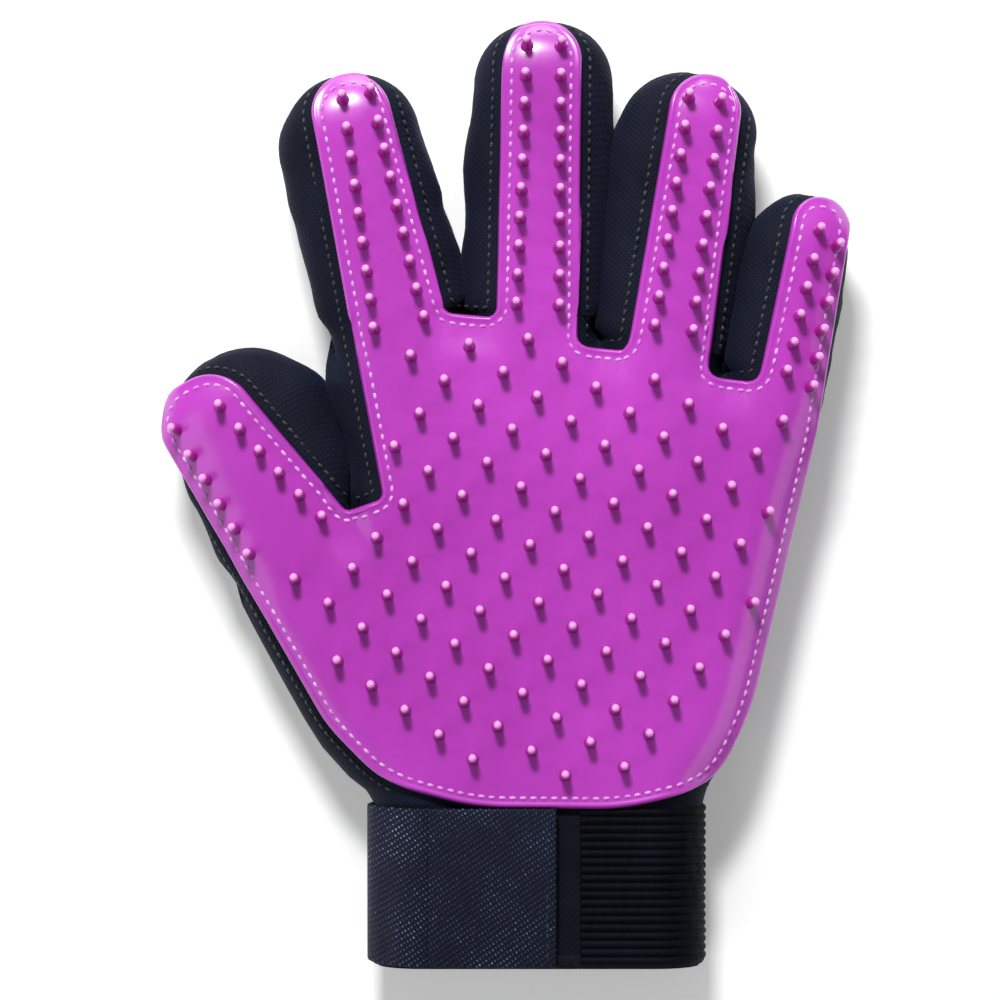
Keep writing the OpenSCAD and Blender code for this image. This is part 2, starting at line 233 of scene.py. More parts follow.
def rounded(corners, step=0.8):
    """Closed outline through corners (x, y, radius), with each corner turned into an arc."""
    out = []
    n = len(corners)
    for i, (x, y, r) in enumerate(corners):
        here = Vector((x, y))
        before = Vector(corners[i - 1][:2]) - here
        after = Vector(corners[(i + 1) % n][:2]) - here
        if r <= 0 or before.length < 1e-6 or after.length < 1e-6:
            out.append(here)
            continue
        a = before.normalized()
        b = after.normalized()
        angle = math.acos(max(-1, min(1, a.dot(b))))
        if angle > math.radians(178):
            out.append(here)
            continue
        cut = min(r / math.tan(angle / 2), before.length * 0.49, after.length * 0.49)
        radius = cut * math.tan(angle / 2)
        centre = here + (a + b).normalized() * (radius / math.sin(angle / 2))
        start = here + a * cut - centre
        end = here + b * cut - centre
        turn = math.atan2(start.x * end.y - start.y * end.x, start.dot(end))
        count = max(2, int(abs(turn) * radius / step))
        for k in range(count + 1):
            t = turn * k / count
            out.append(centre + Vector((start.x * math.cos(t) - start.y * math.sin(t),
                                        start.x * math.sin(t) + start.y * math.cos(t))))
    return out


def resample(points, step, closed=True):
    """Points at an even step along a line of points."""
    pts = list(points) + ([points[0]] if closed else [])
    length = [0.0]
    for a, b in zip(pts, pts[1:]):
        length.append(length[-1] + (b - a).length)
    count = max(2, round(length[-1] / step))
    out = []
    i = 0
    for k in range(count if closed else count + 1):
        want = length[-1] * k / count
        while i < len(pts) - 2 and length[i + 1] < want:
            i += 1
        span = length[i + 1] - length[i]
        t = (want - length[i]) / span if span > 1e-9 else 0
        out.append(pts[i].lerp(pts[i + 1], min(1, max(0, t))))
    return out


def gap_to(points, lines):
    """Distance from each point to the nearest of some open lines of points."""
    pts = np.array([(p[0], p[1]) for p in points], float)
    best = np.full(len(pts), 1e9)
    for line in lines:
        a = np.array([(p[0], p[1]) for p in line[:-1]], float)
        b = np.array([(p[0], p[1]) for p in line[1:]], float)
        d = b - a
        dd = np.maximum((d * d).sum(1), 1e-12)
        for i in range(0, len(pts), 2000):
            q = pts[i:i + 2000, None, :] - a[None]
            t = np.clip((q * d[None]).sum(2) / dd[None], 0, 1)
            r = q - t[..., None] * d[None]
            best[i:i + 2000] = np.minimum(best[i:i + 2000], np.sqrt((r * r).sum(2)).min(1))
    return best


def is_inside(points, outline):
    """Whether each point is inside a closed outline."""
    pts = np.array([(p[0], p[1]) for p in points], float)
    ring = np.array([(p[0], p[1]) for p in outline], float)
    nxt = np.roll(ring, -1, 0)
    odd = np.zeros(len(pts), bool)
    for (x0, y0), (x1, y1) in zip(ring, nxt):
        if y0 == y1:
            continue
        cross = (y0 > pts[:, 1]) != (y1 > pts[:, 1])
        odd ^= cross & (pts[:, 0] < (x1 - x0) * (pts[:, 1] - y0) / (y1 - y0) + x0)
    return odd


LANES = [math.cos(math.pi * k / 30) for k in range(31)]


def fold_points(finger):
    """The fold line of a finger from its right end to its left end."""
    half = finger.half_base
    return [Vector(finger.place(half * t, 0.0)) for t in LANES]


# Free edges of the hand between the cuff and the folds, going round from the thumb's side.
LEFT_SIDE = [Vector(at_cuff(*p)) for p in (
    (-31.6, 0), (-31.6, 20), (-31.6, 36), (-31.9, 40.4), (-33.8, 43.6), (-38.2, 47), (-45, 54.5), (-49.4, 61.5),
    (-53.6, 69), (-59.6, 80), (-65.2, 90.6))]
RIGHT_SIDE = [Vector(at_cuff(*p)) for p in (
    (81.3, 141), (79.1, 132.6), (76.5, 124), (73, 109.5), (69.8, 94.5), (66.4, 79.5), (63.4, 67), (60.6, 58.2),
    (56, 50.2), (52.6, 45), (51.3, 40.6), (51, 36), (51, 20), (51, 0))]


def thumb_crease():
    """Edge of the hand beside the thumb, from the thumb's fold to the index finger's fold."""
    thumb = FINGERS["thumb"]
    out = []
    for s in (1.5, 4, 7, 10, 13, 16, 19, 22, 25, 27.5):
        out.append(Vector(thumb.place(thumb.shift(s) + thumb.half(s) - 0.5 * smooth(s / 4), s)))
    out.append(Vector(at_cuff(-44.2, 146)))
    out.append(Vector(at_cuff(-44.0, 151)))
    return out


def hand_outline():
    """Closed outline of the hand, its free edges and its fold lines."""
    fold = {n: fold_points(f) for n, f in FINGERS.items()}
    thumb = list(reversed(fold["thumb"]))
    index = list(reversed(fold["index"]))
    middle = list(reversed(fold["middle"]))
    ring = list(reversed(fold["ring"]))
    little = list(reversed(fold["little"]))
    free = [LEFT_SIDE + [thumb[0]],
            [thumb[-1]] + resample([thumb[-1]] + thumb_crease() + [index[0]], 1.2, False)[1:-1] + [index[0]],
            [index[-1], middle[0]],
            [middle[-1], (middle[-1] + ring[0]) / 2, ring[0]],
            [ring[-1], (ring[-1] + little[0]) / 2, little[0]],
            [little[-1]] + RIGHT_SIDE]
    free[0] = resample(free[0], 1.3, False)
    free[5] = resample(free[5], 1.3, False)
    cuff_end = [Vector((x, RIGHT_SIDE[-1].y)) for x in np.linspace(RIGHT_SIDE[-1].x, LEFT_SIDE[0].x, 60)]
    loop = []
    for part in (free[0], thumb, free[1], index, free[2], middle, free[3], ring, free[4], little, free[5], cuff_end):
        for p in part:
            if not loop or (p - loop[-1]).length > 1e-4:
                loop.append(p)
    if (loop[0] - loop[-1]).length < 1e-4:
        loop.pop()
    return loop, free, fold


HAND_LOOP, HAND_FREE, HAND_FOLDS = hand_outline()
SIDE_EDGES = [HAND_FREE[0], HAND_FREE[5]]
FOLD_LINES = list(HAND_FOLDS.values())


def root_pull(finger, points, u, s, falloff=14.0):
    """How strongly each point of the hand belongs to the root of a finger, fading with distance."""
    beyond = np.maximum(0, np.abs(u) - finger.half_base) * 2.2
    dist = np.hypot(beyond, np.minimum(s, 0))
    t = np.clip(1 - dist / falloff, 0, 1)
    return t * t * (3 - 2 * t)


def round_side(d, radius=13.0):
    """Share of the full height at a distance in from a rounded side."""
    e = 1 - np.clip(d / radius, 0, 1)
    return np.maximum(0, 1 - e ** 2.3) ** (1 / 2.3)


def half_depth(points):
    """Half thickness of the hand, thinner towards the folds."""
    t = np.clip(gap_to(points, FOLD_LINES) / 45, 0, 1)
    return FINGER_HALF + (PALM_HALF - FINGER_HALF) * t * t * (3 - 2 * t)


def over_root(finger, u, low=-1.0, high=1.0):
    """Height of a finger's fold line above its middle plane, at places across it."""
    half = finger.half_base
    e = np.abs(np.clip(u, low * half, high * half)) / half
    return FINGER_HALF * np.maximum(0, 1 - e ** 2.5) ** (1 / 2.3)


def underside(middle, rise):
    """Height of the cloth on the glove's back: it sags until it lies flat on the floor."""
    deep = 1.1 * (middle - FLOOR) / (TOP - middle)
    return max(FLOOR, middle - rise * deep)


def hand_heights(points):
    """Middle height and half thickness of the hand's fabric over plan points."""
    xy = np.array([(p[0], p[1]) for p in points], float)
    d = gap_to(points, HAND_FREE)
    half = half_depth(points)
    rise = half * round_side(d)
    for f in FINGERS.values():
        u, s = f.local_many(xy)
        w = root_pull(f, xy, u, s)
        rise = rise * (1 - w) + over_root(f, u) * w
    rise[d < 1e-3] = 0.0
    return TOP - half, rise


# ---------------------------------------------------------------- mesh helpers

def new_object(name, verts, faces, smooth_shade=True):
    """Mesh object from points in millimetres."""
    mesh = bpy.data.meshes.new(name)
    mesh.from_pydata([(v[0] * MM, v[1] * MM, v[2] * MM) for v in verts], [], faces)
    mesh.validate()
    mesh.update()
    obj = bpy.data.objects.new(name, mesh)
    bpy.context.scene.collection.objects.link(obj)
    if smooth_shade:
        mesh.polygons.foreach_set("use_smooth", [True] * len(mesh.polygons))
    return obj


def keep_rest(obj):
    """Stores where each point rests, so that a texture stays with the cloth in every pose."""
    mesh = obj.data
    co = np.empty(len(mesh.vertices) * 3, np.float32)
    mesh.vertices.foreach_get("co", co)
    layer = mesh.attributes.get("rest") or mesh.attributes.new("rest", "FLOAT_VECTOR", "POINT")
    layer.data.foreach_set("vector", co)


def apply_modifiers(obj):
    """Bakes an object's modifiers into its mesh."""
    graph = bpy.context.evaluated_depsgraph_get()
    mesh = bpy.data.meshes.new_from_object(obj.evaluated_get(graph), preserve_all_data_layers=True,
                                           depsgraph=graph)
    obj.modifiers.clear()
    obj.data = mesh


def thicken(obj, amount):
    """Gives cloth a real thickness inwards."""
    m = obj.modifiers.new("thickness", "SOLIDIFY")
    m.thickness = amount * MM
    m.offset = -1
    m.use_rim = False
    apply_modifiers(obj)


def triangulate(points, loop_count):
    """Triangles over plan points whose first loop_count points are the closed outline."""
    edges = [(i, (i + 1) % loop_count) for i in range(loop_count)]
    verts, _, faces, origin, _, _ = delaunay_2d_cdt([Vector(p[:2]) for p in points], edges, [], 1, 1e-5)
    return [Vector(v) for v in verts], [tuple(f) for f in faces], origin


def shifted(line, distance, closed=False):
    """A line moved sideways, to its right, by a distance."""
    out = []
    n = len(line)
    for i, p in enumerate(line):
        a = line[i - 1] if closed else line[max(0, i - 1)]
        b = line[(i + 1) % n] if closed else line[min(n - 1, i + 1)]
        t = (b - a).normalized()
        out.append(p + Vector((t.y, -t.x)) * distance)
    return out


def hex_grid(low, high, step):
    out = []
    row = 0
    y = low[1]
    while y <= high[1]:
        x = low[0] + (step / 2 if row % 2 else 0)
        while x <= high[0]:
            out.append(Vector((x, y)))
            x += step
        y += step * 0.866
        row += 1
    return out


def thin_out(points, spacing):
    """Drops points that lie too close to one that is already kept."""
    cell = {}
    kept = []
    for p in points:
        key = (int(p.x // spacing), int(p.y // spacing))
        close = False
        for dx in (-1, 0, 1):
            for dy in (-1, 0, 1):
                for q in cell.get((key[0] + dx, key[1] + dy), ()):
                    if (p - q).length < spacing:
                        close = True
        if not close:
            cell.setdefault(key, []).append(p)
            kept.append(p)
    return kept


def grid_over(outline, step):
    xs = [p.x for p in outline]
    ys = [p.y for p in outline]
    return hex_grid((min(xs), min(ys)), (max(xs), max(ys)), step)


# ---------------------------------------------------------------- fabric

SIDE_STEPS = (0.1, 0.35, 0.8, 1.5, 2.5, 3.8, 5.4, 7.2)
GRID = 2.0
CUFF_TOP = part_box("cuff_band")[1][1] / MM


def crease(x, y, seed):
    """Soft irregular folds of slack cloth, in millimetres out of the surface."""
    a = noise.noise(Vector((x * 0.045 + seed, y * 0.11, seed * 1.7)))
    b = noise.noise(Vector((x * 0.16, y * 0.16 + seed, seed)))
    c = noise.noise(Vector((x * 0.09 + y * 0.05, y * 0.03, seed + 3.1)))
    ridge = 1 - abs(c) * 3.2
    return 0.55 * a + 0.22 * b + 0.35 * max(0.0, ridge) ** 2


def let_settle(obj, held, cap, lowest=None):
    """Simulates slack cloth: a little too large for where it is held, pressed out from inside, gravity off.

    held is each point's hold from 0 to 1; cap is how far a point may move, in millimetres."""
    group = obj.vertex_groups.new(name="held")
    for i, hold in enumerate(held):
        group.add([i], hold, "REPLACE")
    modifier = obj.modifiers.new("cloth", "CLOTH")
    cloth = modifier.settings
    cloth.quality = 5
    cloth.mass = 0.15
    cloth.tension_stiffness = 12
    cloth.compression_stiffness = 12
    cloth.shear_stiffness = 4
    cloth.bending_stiffness = 0.4
    cloth.vertex_group_mass = group.name
    cloth.pin_stiffness = 1
    cloth.shrink_min = -0.035
    cloth.use_pressure = True
    cloth.uniform_pressure_force = 2.0
    cloth.effector_weights.gravity = 0
    modifier.collision_settings.use_collision = False
    scene = bpy.context.scene
    frames = 20
    modifier.point_cache.frame_start = 1
    modifier.point_cache.frame_end = frames
    for number in range(1, frames + 1):
        scene.frame_set(number)
    count = len(obj.data.vertices)
    before = np.empty(count * 3, np.float32)
    obj.data.vertices.foreach_get("co", before)
    after = np.empty(count * 3, np.float32)
    obj.evaluated_get(bpy.context.evaluated_depsgraph_get()).data.vertices.foreach_get("co", after)
    before = before.reshape(-1, 3)
    move = after.reshape(-1, 3) - before
    edges = np.empty(len(obj.data.edges) * 2, np.int32)
    obj.data.edges.foreach_get("vertices", edges)
    a, b = edges.reshape(-1, 2).T
    for _ in range(3):
        total = move.copy()
        np.add.at(total, a, move[b])
        np.add.at(total, b, move[a])
        move = total / (1 + np.bincount(edges, minlength=count))[:, None]
    far = np.linalg.norm(move, axis=1)
    limit = np.minimum(1.0, cap * MM / np.maximum(far, 1e-9))
    placed = before + move * (limit * (1 - np.array(held)))[:, None]
    if lowest is not None:
        placed[:, 2] = np.maximum(placed[:, 2], lowest * MM)
    obj.modifiers.clear()
    obj.vertex_groups.clear()
    obj.data.vertices.foreach_set("co", placed.astype(np.float32).ravel())
    obj.data.update()
    scene.frame_set(1)


def hand_fabric():
    """Palm and back of the hand with the cuff under it, open at the folds and at the wrist."""
    points = list(HAND_LOOP)
    extra = []
    for line in HAND_FREE:
        for d in SIDE_STEPS:
            extra += [(p, d) for p in shifted(line, d)]
    inner = [p for p, d in extra]
    keep = is_inside(inner, HAND_LOOP)
    free = gap_to(inner, HAND_FREE)
    folds = gap_to(inner, FOLD_LINES)
    near = [p for i, (p, d) in enumerate(extra) if keep[i] and free[i] > d * 0.9 and folds[i] > 0.9]
    rows = [p for f in FINGERS.values() for d in (0.8, 2.2, 4.0)
            for p in [Vector(f.place(f.half_base * t * 0.985, -d)) for t in LANES]]
    ok = is_inside(rows, HAND_LOOP)
    free = gap_to(rows, HAND_FREE)
    near += [p for i, p in enumerate(rows) if ok[i] and free[i] > 0.3]
    grid = grid_over(HAND_LOOP, GRID)
    ok = is_inside(grid, HAND_LOOP)
    free = gap_to(grid, HAND_FREE)
    folds = gap_to(grid, FOLD_LINES)
    grid = [p for i, p in enumerate(grid) if ok[i] and free[i] > 7.5 and folds[i] > 4.6]
    cuff_end = HAND_LOOP[-1].y
    points += [p for p in thin_out(near, 0.25) + grid if p.y > cuff_end + 0.7]
    plan, faces, _ = triangulate(points, len(HAND_LOOP))
    middle, rise = hand_heights(plan)
    fold = gap_to(plan, FOLD_LINES)
    top = []
    bottom = []
    verts = []
    for i, p in enumerate(plan):
        ease = smooth(fold[i] / 8) * smooth(rise[i] / 6) * smooth((p.y - cuff_end) / 30)
        if rise[i] < 1e-3:
            top.append(len(verts))
            bottom.append(len(verts))
            verts.append((p.x, p.y, middle[i]))
            continue
        bulge = crease(p.x, p.y, 2.0)
        top.append(len(verts))
        verts.append((p.x, p.y, middle[i] + rise[i] + min(0.0, bulge - 0.2) * ease))
        bottom.append(len(verts))
        slack = 0.8 * ease * max(0.0, 0.4 + crease(p.x, p.y, 7.0))
        verts.append((p.x, p.y, underside(middle[i], rise[i]) + slack))
    mesh_faces = []
    for a, b, c in faces:
        if rise[a] < 1e-3 and rise[b] < 1e-3 and rise[c] < 1e-3:
            continue
        up = (plan[b] - plan[a]).cross(plan[c] - plan[a]) > 0
        tri = (a, b, c) if up else (a, c, b)
        mesh_faces.append(tuple(top[k] for k in tri))
        mesh_faces.append(tuple(bottom[k] for k in reversed(tri)))
    obj = new_object("hand_fabric", verts, mesh_faces)
    held = np.ones(len(verts))
    for i, p in enumerate(plan):
        if rise[i] > 1e-3:
            free = smooth((fold[i] - 2) / 8) * smooth((rise[i] - 2) / 6) * smooth((p.y - CUFF_TOP) / 12)
            held[bottom[i]] = 1 - free
    let_settle(obj, held, 2.5, 0.05)
    keep_rest(obj)
    thicken(obj, 1.3)
    return obj


def finger_rows(finger):
    """Distances along a finger at which its cloth has a ring of points."""
    step = 1.7
    straight = finger.length - finger.tip
    first = list(np.linspace(0, finger.ring, max(4, round(finger.ring / step))))
    second = list(np.linspace(finger.ring, straight, max(6, round((straight - finger.ring) / step))))
    count = 14
    tip = [straight + finger.tip * math.sin(math.pi / 2 * k / count) for k in range(1, count)]
    return first, second + tip


def finger_fabric(finger, part):
    """One of the two parts of a finger's cloth tube."""
    first, second = finger_rows(finger)
    rows = first if part == "base" else second
    count = 2 * (len(LANES) - 1)
    verts = []
    for s in rows:
        half = finger.half(s)
        shift = finger.shift(s)
        ease = smooth(s / 7) * smooth(abs(s - finger.ring) / 5) * smooth((finger.length - s) / 9)
        for k in range(count):
            a = 2 * math.pi * k / count
            u = shift + half * math.cos(a)
            z = finger.profile(u, s)
            if math.sin(a) < 0:
                z = underside(finger.middle_z(s), z) - finger.middle_z(s)
            x, y = finger.place(u, s)
            slack = crease(x, y, 11.0 + 5.0 * (math.sin(a) < 0)) - 0.25
            knuckle = -0.7 * math.exp(-((s - finger.fold) / 2.2) ** 2) * max(0.0, -math.sin(a))
            grow = 1 + ease * (0.9 * slack + knuckle) / FINGER_HALF
            x, y = finger.place(shift + (u - shift) * (1 + (grow - 1) * 0.35), s)
            verts.append((x, y, finger.middle_z(s) + z * grow))
    faces = []
    for r in range(len(rows) - 1):
        for k in range(count):
            j = (k + 1) % count
            a = r * count + k
            b = r * count + j
            faces.append((a, b, b + count, a + count))
    if part == "end":
        tip = finger.place(finger.shift(finger.length), finger.length)
        verts.append((tip[0], tip[1], finger.middle_z(finger.length)))
        last = (len(rows) - 1) * count
        faces += [(last + k, last + (k + 1) % count, len(verts) - 1) for k in range(count)]
    obj = new_object(finger.name + "_fabric_" + part, verts, faces)
    recalculate(obj)
    held = np.ones(len(verts))
    for r, s in enumerate(rows):
        for k in range(count):
            rise = math.sin(2 * math.pi * k / count)
            edge = smooth((s - 1) / 6) * smooth((abs(s - finger.ring) - 0.5) / 5)
            held[r * count + k] = 1 - edge * smooth((0.5 - rise) / 0.5)
    let_settle(obj, held, 1.0, 0.05)
    keep_rest(obj)
    thicken(obj, 1.3)
    return obj


def recalculate(obj):
    """Turns the faces of a mesh outwards."""
    bm = bmesh.new()
    bm.from_mesh(obj.data)
    bmesh.ops.recalc_face_normals(bm, faces=bm.faces)
    top = max(bm.faces, key=lambda f: f.calc_center_median().z)
    if top.normal.z < 0:
        bmesh.ops.reverse_faces(bm, faces=bm.faces)
    bm.to_mesh(obj.data)
    bm.free()


# ---------------------------------------------------------------- silicone sheet

def strip_corners(finger):
    """Right side, round tip and left side of the strip on a finger, from its root and back."""
    end = finger.length - finger.strip_end
    radius = (finger.right[1] - finger.left[1]) / 2 * 0.98
    corners = [(finger.right[0], 0.0, 0.0), (finger.right[1], end, radius),
               (finger.left[1], end, radius), (finger.left[0], 0.0, 0.0)]
    return [(*finger.place(u, s), r) for u, s, r in corners]


def slot_corner(x, y, radius):
    return (*at_cuff(x, y), radius)


def sheet_corners():
    """Corners of the whole sheet, going round it with the sheet on the left."""
    index, middle, ring, little, thumb = (strip_corners(FINGERS[n])
                                          for n in ("index", "middle", "ring", "little", "thumb"))
    heel = [slot_corner(*c) for c in ((-42.8, 61, 40), (-28.5, 46.2, 34), (-6, 40.2, 60), (32, 39.9, 60),
                                      (53, 45.8, 28), (62.2, 66, 60), (78.3, 134, 60))]
    return (heel + little[1:3]
            + [slot_corner(64.4, 146.3, 2.6), slot_corner(51.9, 147.9, 2.6)] + ring[1:3]
            + [slot_corner(31.9, 154.2, 2.6), slot_corner(19.4, 155.4, 2.6)] + middle[1:3]
            + [slot_corner(-0.8, 162.6, 2.2), slot_corner(-13.6, 163.8, 2.2)] + index[1:3]
            + [slot_corner(-29.2, 117.4, 1.6), slot_corner(-38.4, 114.2, 1.6)] + thumb[1:3])


SHEET_LINE = resample(rounded(sheet_corners()), 1.05)
COVER = {"index": (-0.62, 0.62), "middle": (-0.62, 0.62), "ring": (-0.62, 0.66),
         "little": (-0.62, 0.97), "thumb": (-0.97, 0.62)}


def sheet_base(xy):
    """Height of the sheet's underside over plan points: it bridges the hollows of the cloth."""
    pts = [Vector(p) for p in xy]
    half = half_depth(pts)
    middle = TOP - half
    rise = half * round_side(gap_to(pts, SIDE_EDGES))
    for f in FINGERS.values():
        u, s = f.local_many(xy)
        w = root_pull(f, xy, u, s)
        rise = rise * (1 - w) + over_root(f, u, *COVER[f.name]) * w
    height = middle + rise
    for f in FINGERS.values():
        low, high = COVER[f.name]
        u, s = f.local_many(xy)
        for i in np.nonzero((s > 0) & (s < f.length + 4) & (np.abs(u) < f.half_fold + 8))[0]:
            at = min(s[i], f.length - 0.15)
            half_here = f.half(at)
            shift = f.shift(at)
            beyond = abs(u[i] - shift) - half_here
            if beyond < 5:
                v = min(max(u[i], shift + low * half_here), shift + high * half_here)
                own = f.middle_z(at) + f.profile(v, at)
                height[i] = mix(own, height[i], smooth(beyond / 5) * smooth((5 - s[i]) / 3))
    return height


def sheet_frame(points):
    """Underside points and surface directions of the sheet over plan points."""
    xy = np.array([(p[0], p[1]) for p in points], float)
    step = 0.5
    z = sheet_base(xy)
    gx = (sheet_base(xy + (step, 0)) - sheet_base(xy - (step, 0))) / (2 * step)
    gy = (sheet_base(xy + (0, step)) - sheet_base(xy - (0, step))) / (2 * step)
    slope = np.hypot(gx, gy)
    limit = np.minimum(1, 2.2 / np.maximum(slope, 1e-6))
    n = np.stack([-gx * limit, -gy * limit, np.ones(len(xy))], 1)
    n /= np.linalg.norm(n, axis=1)[:, None]
    return np.column_stack([xy, z]), n


def rim_height(d):
    """Thickness of the sheet at a distance in from its edge: a rounded, slightly raised border."""
    edge = 0.75
    body = SHEET * math.sqrt(max(0.0, 1 - (1 - min(1.0, d / edge)) ** 2))
    return body + 0.35 * math.exp(-((d - 1.0) / 0.55) ** 2) * smooth(d / 0.6)


RIM = (0.0, 0.08, 0.25, 0.5, 0.8, 1.1, 1.5, 2.0, 2.7)


def region_of(x, y):
    """The finger and part over which a plan point lies, or None on the palm."""
    for f in FINGERS.values():
        part = f.region(x, y)
        if part:
            return f.name, part
    return None


def silicone_sheet():
    """The moulded sheet as one surface, as points and faces; it is split at the folds afterwards."""
    n = len(SHEET_LINE)
    loops = [shifted(SHEET_LINE, -d, closed=True) for d in RIM]
    inner = loops[-1]
    grid = grid_over(inner, 1.8)
    ok = is_inside(grid, inner)
    d = gap_to(grid, [inner + [inner[0]]])
    grid = [p for i, p in enumerate(grid) if ok[i] and d[i] > 0.9]
    plan, faces, _ = triangulate(inner + grid, n)
    points = [p for loop in loops[:-1] for p in loop] + plan
    heights = [rim_height(dist) for dist in RIM[:-1] for _ in range(n)] + [SHEET + 0.02] * len(plan)
    base, normal = sheet_frame(points)
    top = base + normal * np.array(heights)[:, None]
    start = n * (len(RIM) - 1)
    out = []
    for r in range(len(RIM) - 1):
        for k in range(n):
            j = (k + 1) % n
            a = r * n + k
            b = r * n + j
            out.append((a, b, b + n, a + n))
    for a, b, c in faces:
        up = (plan[b] - plan[a]).cross(plan[c] - plan[a]) > 0
        out.append((a + start, b + start, c + start) if up else (a + start, c + start, b + start))
    under = len(top)
    below = base + np.array((0, 0, 0.05))
    for r in range(len(RIM) - 1):
        for k in range(n):
            j = (k + 1) % n
            a = r * n + k + (under if r else 0)
            b = r * n + j + (under if r else 0)
            out.append((a, (r + 1) * n + k + under, (r + 1) * n + j + under, b))
    for a, b, c in faces:
        up = (plan[b] - plan[a]).cross(plan[c] - plan[a]) > 0
        tri = (a, c, b) if up else (a, b, c)
        out.append(tuple(start + under + k for k in tri))
    verts = np.vstack([top, below])
    return verts, out, points + points


def split_by_region(verts, faces, plan):
    """Sorts faces into the palm and the two parts of each finger."""
    where = [region_of(p[0], p[1]) for p in plan]
    groups = {}
    for face in faces:
        votes = [where[i] for i in face]
        key = max(votes, key=votes.count)
        groups.setdefault(key, []).append(face)
    out = {}
    for key, some in groups.items():
        index = {}
        mine = []
        for face in some:
            mine.append(tuple(index.setdefault(i, len(index)) for i in face))
        order = sorted(index, key=index.get)
        out[key] = ([tuple(verts[i]) for i in order], mine)
    return out


# ---------------------------------------------------------------- pins and stitches

PIN_FIELD = [Vector(at_cuff(*p)) for p in (
    (-55, 97), (-44, 76), (-26, 62), (-8, 48), (18, 44), (38, 46), (52, 62), (62, 88), (74, 128), (77.5, 142),
    (60, 144), (44, 149.5), (24, 154), (8, 158), (-8, 159), (-27, 157), (-27, 116), (-39, 107))]
PIN_ORIGIN = Vector(at_cuff(15.8, 99.6))
PIN_RIGHT = Vector((8.4, -6.1))
PIN_UP = Vector((6.2, 8.2))
PIN_STEP = 7.1
# Two rows of pins on a finger: u at the fold and at the last pin for each, the last pin's s, and how many.
PIN_ROWS = {
    "index": ((-5.3, -0.7), (6.4, 5.8), 55.6, 9),
    "middle": ((-4.4, -3.0), (5.7, 5.0), 66.0, 10),
    "ring": ((-3.2, -2.6), (5.8, 4.8), 61.2, 9),
    "little": ((0.8, 3.2), (6.6, 7.4), 37.0, 6),
    "thumb": ((-8.6, -9.9), (11.0, 1.5), 40.0, 6),
}


def palm_pins():
    """Places of the palm's pins, on a turned square grid."""
    found = [PIN_ORIGIN + PIN_RIGHT * i + PIN_UP * j for i in range(-12, 13) for j in range(-12, 13)]
    inside = is_inside(found, PIN_FIELD)
    edge = gap_to(found, [SHEET_LINE + [SHEET_LINE[0]]])
    others = finger_pins()
    return [p for i, p in enumerate(found)
            if inside[i] and edge[i] > 4.2 and min((p - q).length for q in others) > 5.5]


def finger_pins():
    """Places of the two rows of pins on each finger."""
    out = []
    for name, (left, right, last, count) in PIN_ROWS.items():
        f = FINGERS[name]
        for k in range(count):
            s = last - PIN_STEP * k
            out.append(Vector(f.place(mix(left[0], left[1], s / last), s)))
            lag = 2.6 if name == "little" else 0.0
            out.append(Vector(f.place(mix(right[0], right[1], s / last), s - lag)))
    return out


# A pin's radius and height, ring by ring, from its flared foot to its domed tip.
PIN_RINGS = ((1.75, -0.1), (1.45, 0.3), (1.28, 0.9), (1.18, 2.2), (1.14, 3.6), (1.14, 4.3), (1.02, 4.85),
             (0.72, 5.3), (0.34, 5.47))
PIN_SIDES = 14
PIN_LEAN = Vector((0, 0.3, 1.3))    # the pins stand straighter than the sheet's sides and tip a little forwards


def basis(n):
    """Two directions square to a normal and to each other."""
    a = Vector((1, 0, 0)) if abs(n.x) < 0.8 else Vector((0, 1, 0))
    u = n.cross(a).normalized()
    return u, n.cross(u)


def add_turned(verts, faces, base, n, rings, sides):
    """Adds a small turned shape that stands on a surface."""
    u, v = basis(n)
    start = len(verts)
    for r, h in rings:
        for k in range(sides):
            a = 2 * math.pi * k / sides
            verts.append(tuple(base + n * h + (u * math.cos(a) + v * math.sin(a)) * r))
    for i in range(len(rings) - 1):
        for k in range(sides):
            j = (k + 1) % sides
            faces.append((start + i * sides + k, start + i * sides + j,
                          start + (i + 1) * sides + j, start + (i + 1) * sides + k))
    verts.append(tuple(base + n * (rings[-1][1] + 0.03)))
    last = start + (len(rings) - 1) * sides
    faces += [(last + k, last + (k + 1) % sides, len(verts) - 1) for k in range(sides)]


def add_stitch(verts, faces, centre, along, n, length, radius):
    """Adds one short rounded stitch of thread lying on a surface."""
    along = along.normalized()
    side = n.cross(along).normalized()
    start = len(verts)
    sides = 6
    for t, r in ((-0.5, 0.35), (-0.36, 0.85), (0.0, 1.0), (0.36, 0.85), (0.5, 0.35)):
        for k in range(sides):
            a = 2 * math.pi * k / sides
            p = centre + along * (t * length) + side * (math.cos(a) * r * radius)
            verts.append(tuple(p + n * (math.sin(a) * r * radius * 0.8 - abs(t) * radius)))
    for i in range(4):
        for k in range(sides):
            j = (k + 1) % sides
            faces.append((start + i * sides + k, start + (i + 1) * sides + k,
                          start + (i + 1) * sides + j, start + i * sides + j))
    faces.append(tuple(start + k for k in range(sides)))
    faces.append(tuple(start + 4 * sides + k for k in reversed(range(sides))))


def grouped(places):
    """Sorts plan places with their numbers by the region of the glove they lie on."""
    groups = {}
    for i, p in enumerate(places):
        groups.setdefault(region_of(p[0], p[1]), []).append(i)
    return groups


def all_pins():
    """The pins of each region, as points and faces."""
    places = palm_pins() + finger_pins()
    base, normal = sheet_frame(places)
    out = {}
    for key, members in grouped(places).items():
        verts, faces = [], []
        for i in members:
            n = Vector(normal[i])
            foot = Vector(base[i]) + n * SHEET
            add_turned(verts, faces, foot, (n + PIN_LEAN).normalized(), PIN_RINGS, PIN_SIDES)
        out[key] = (verts, faces)
    return out


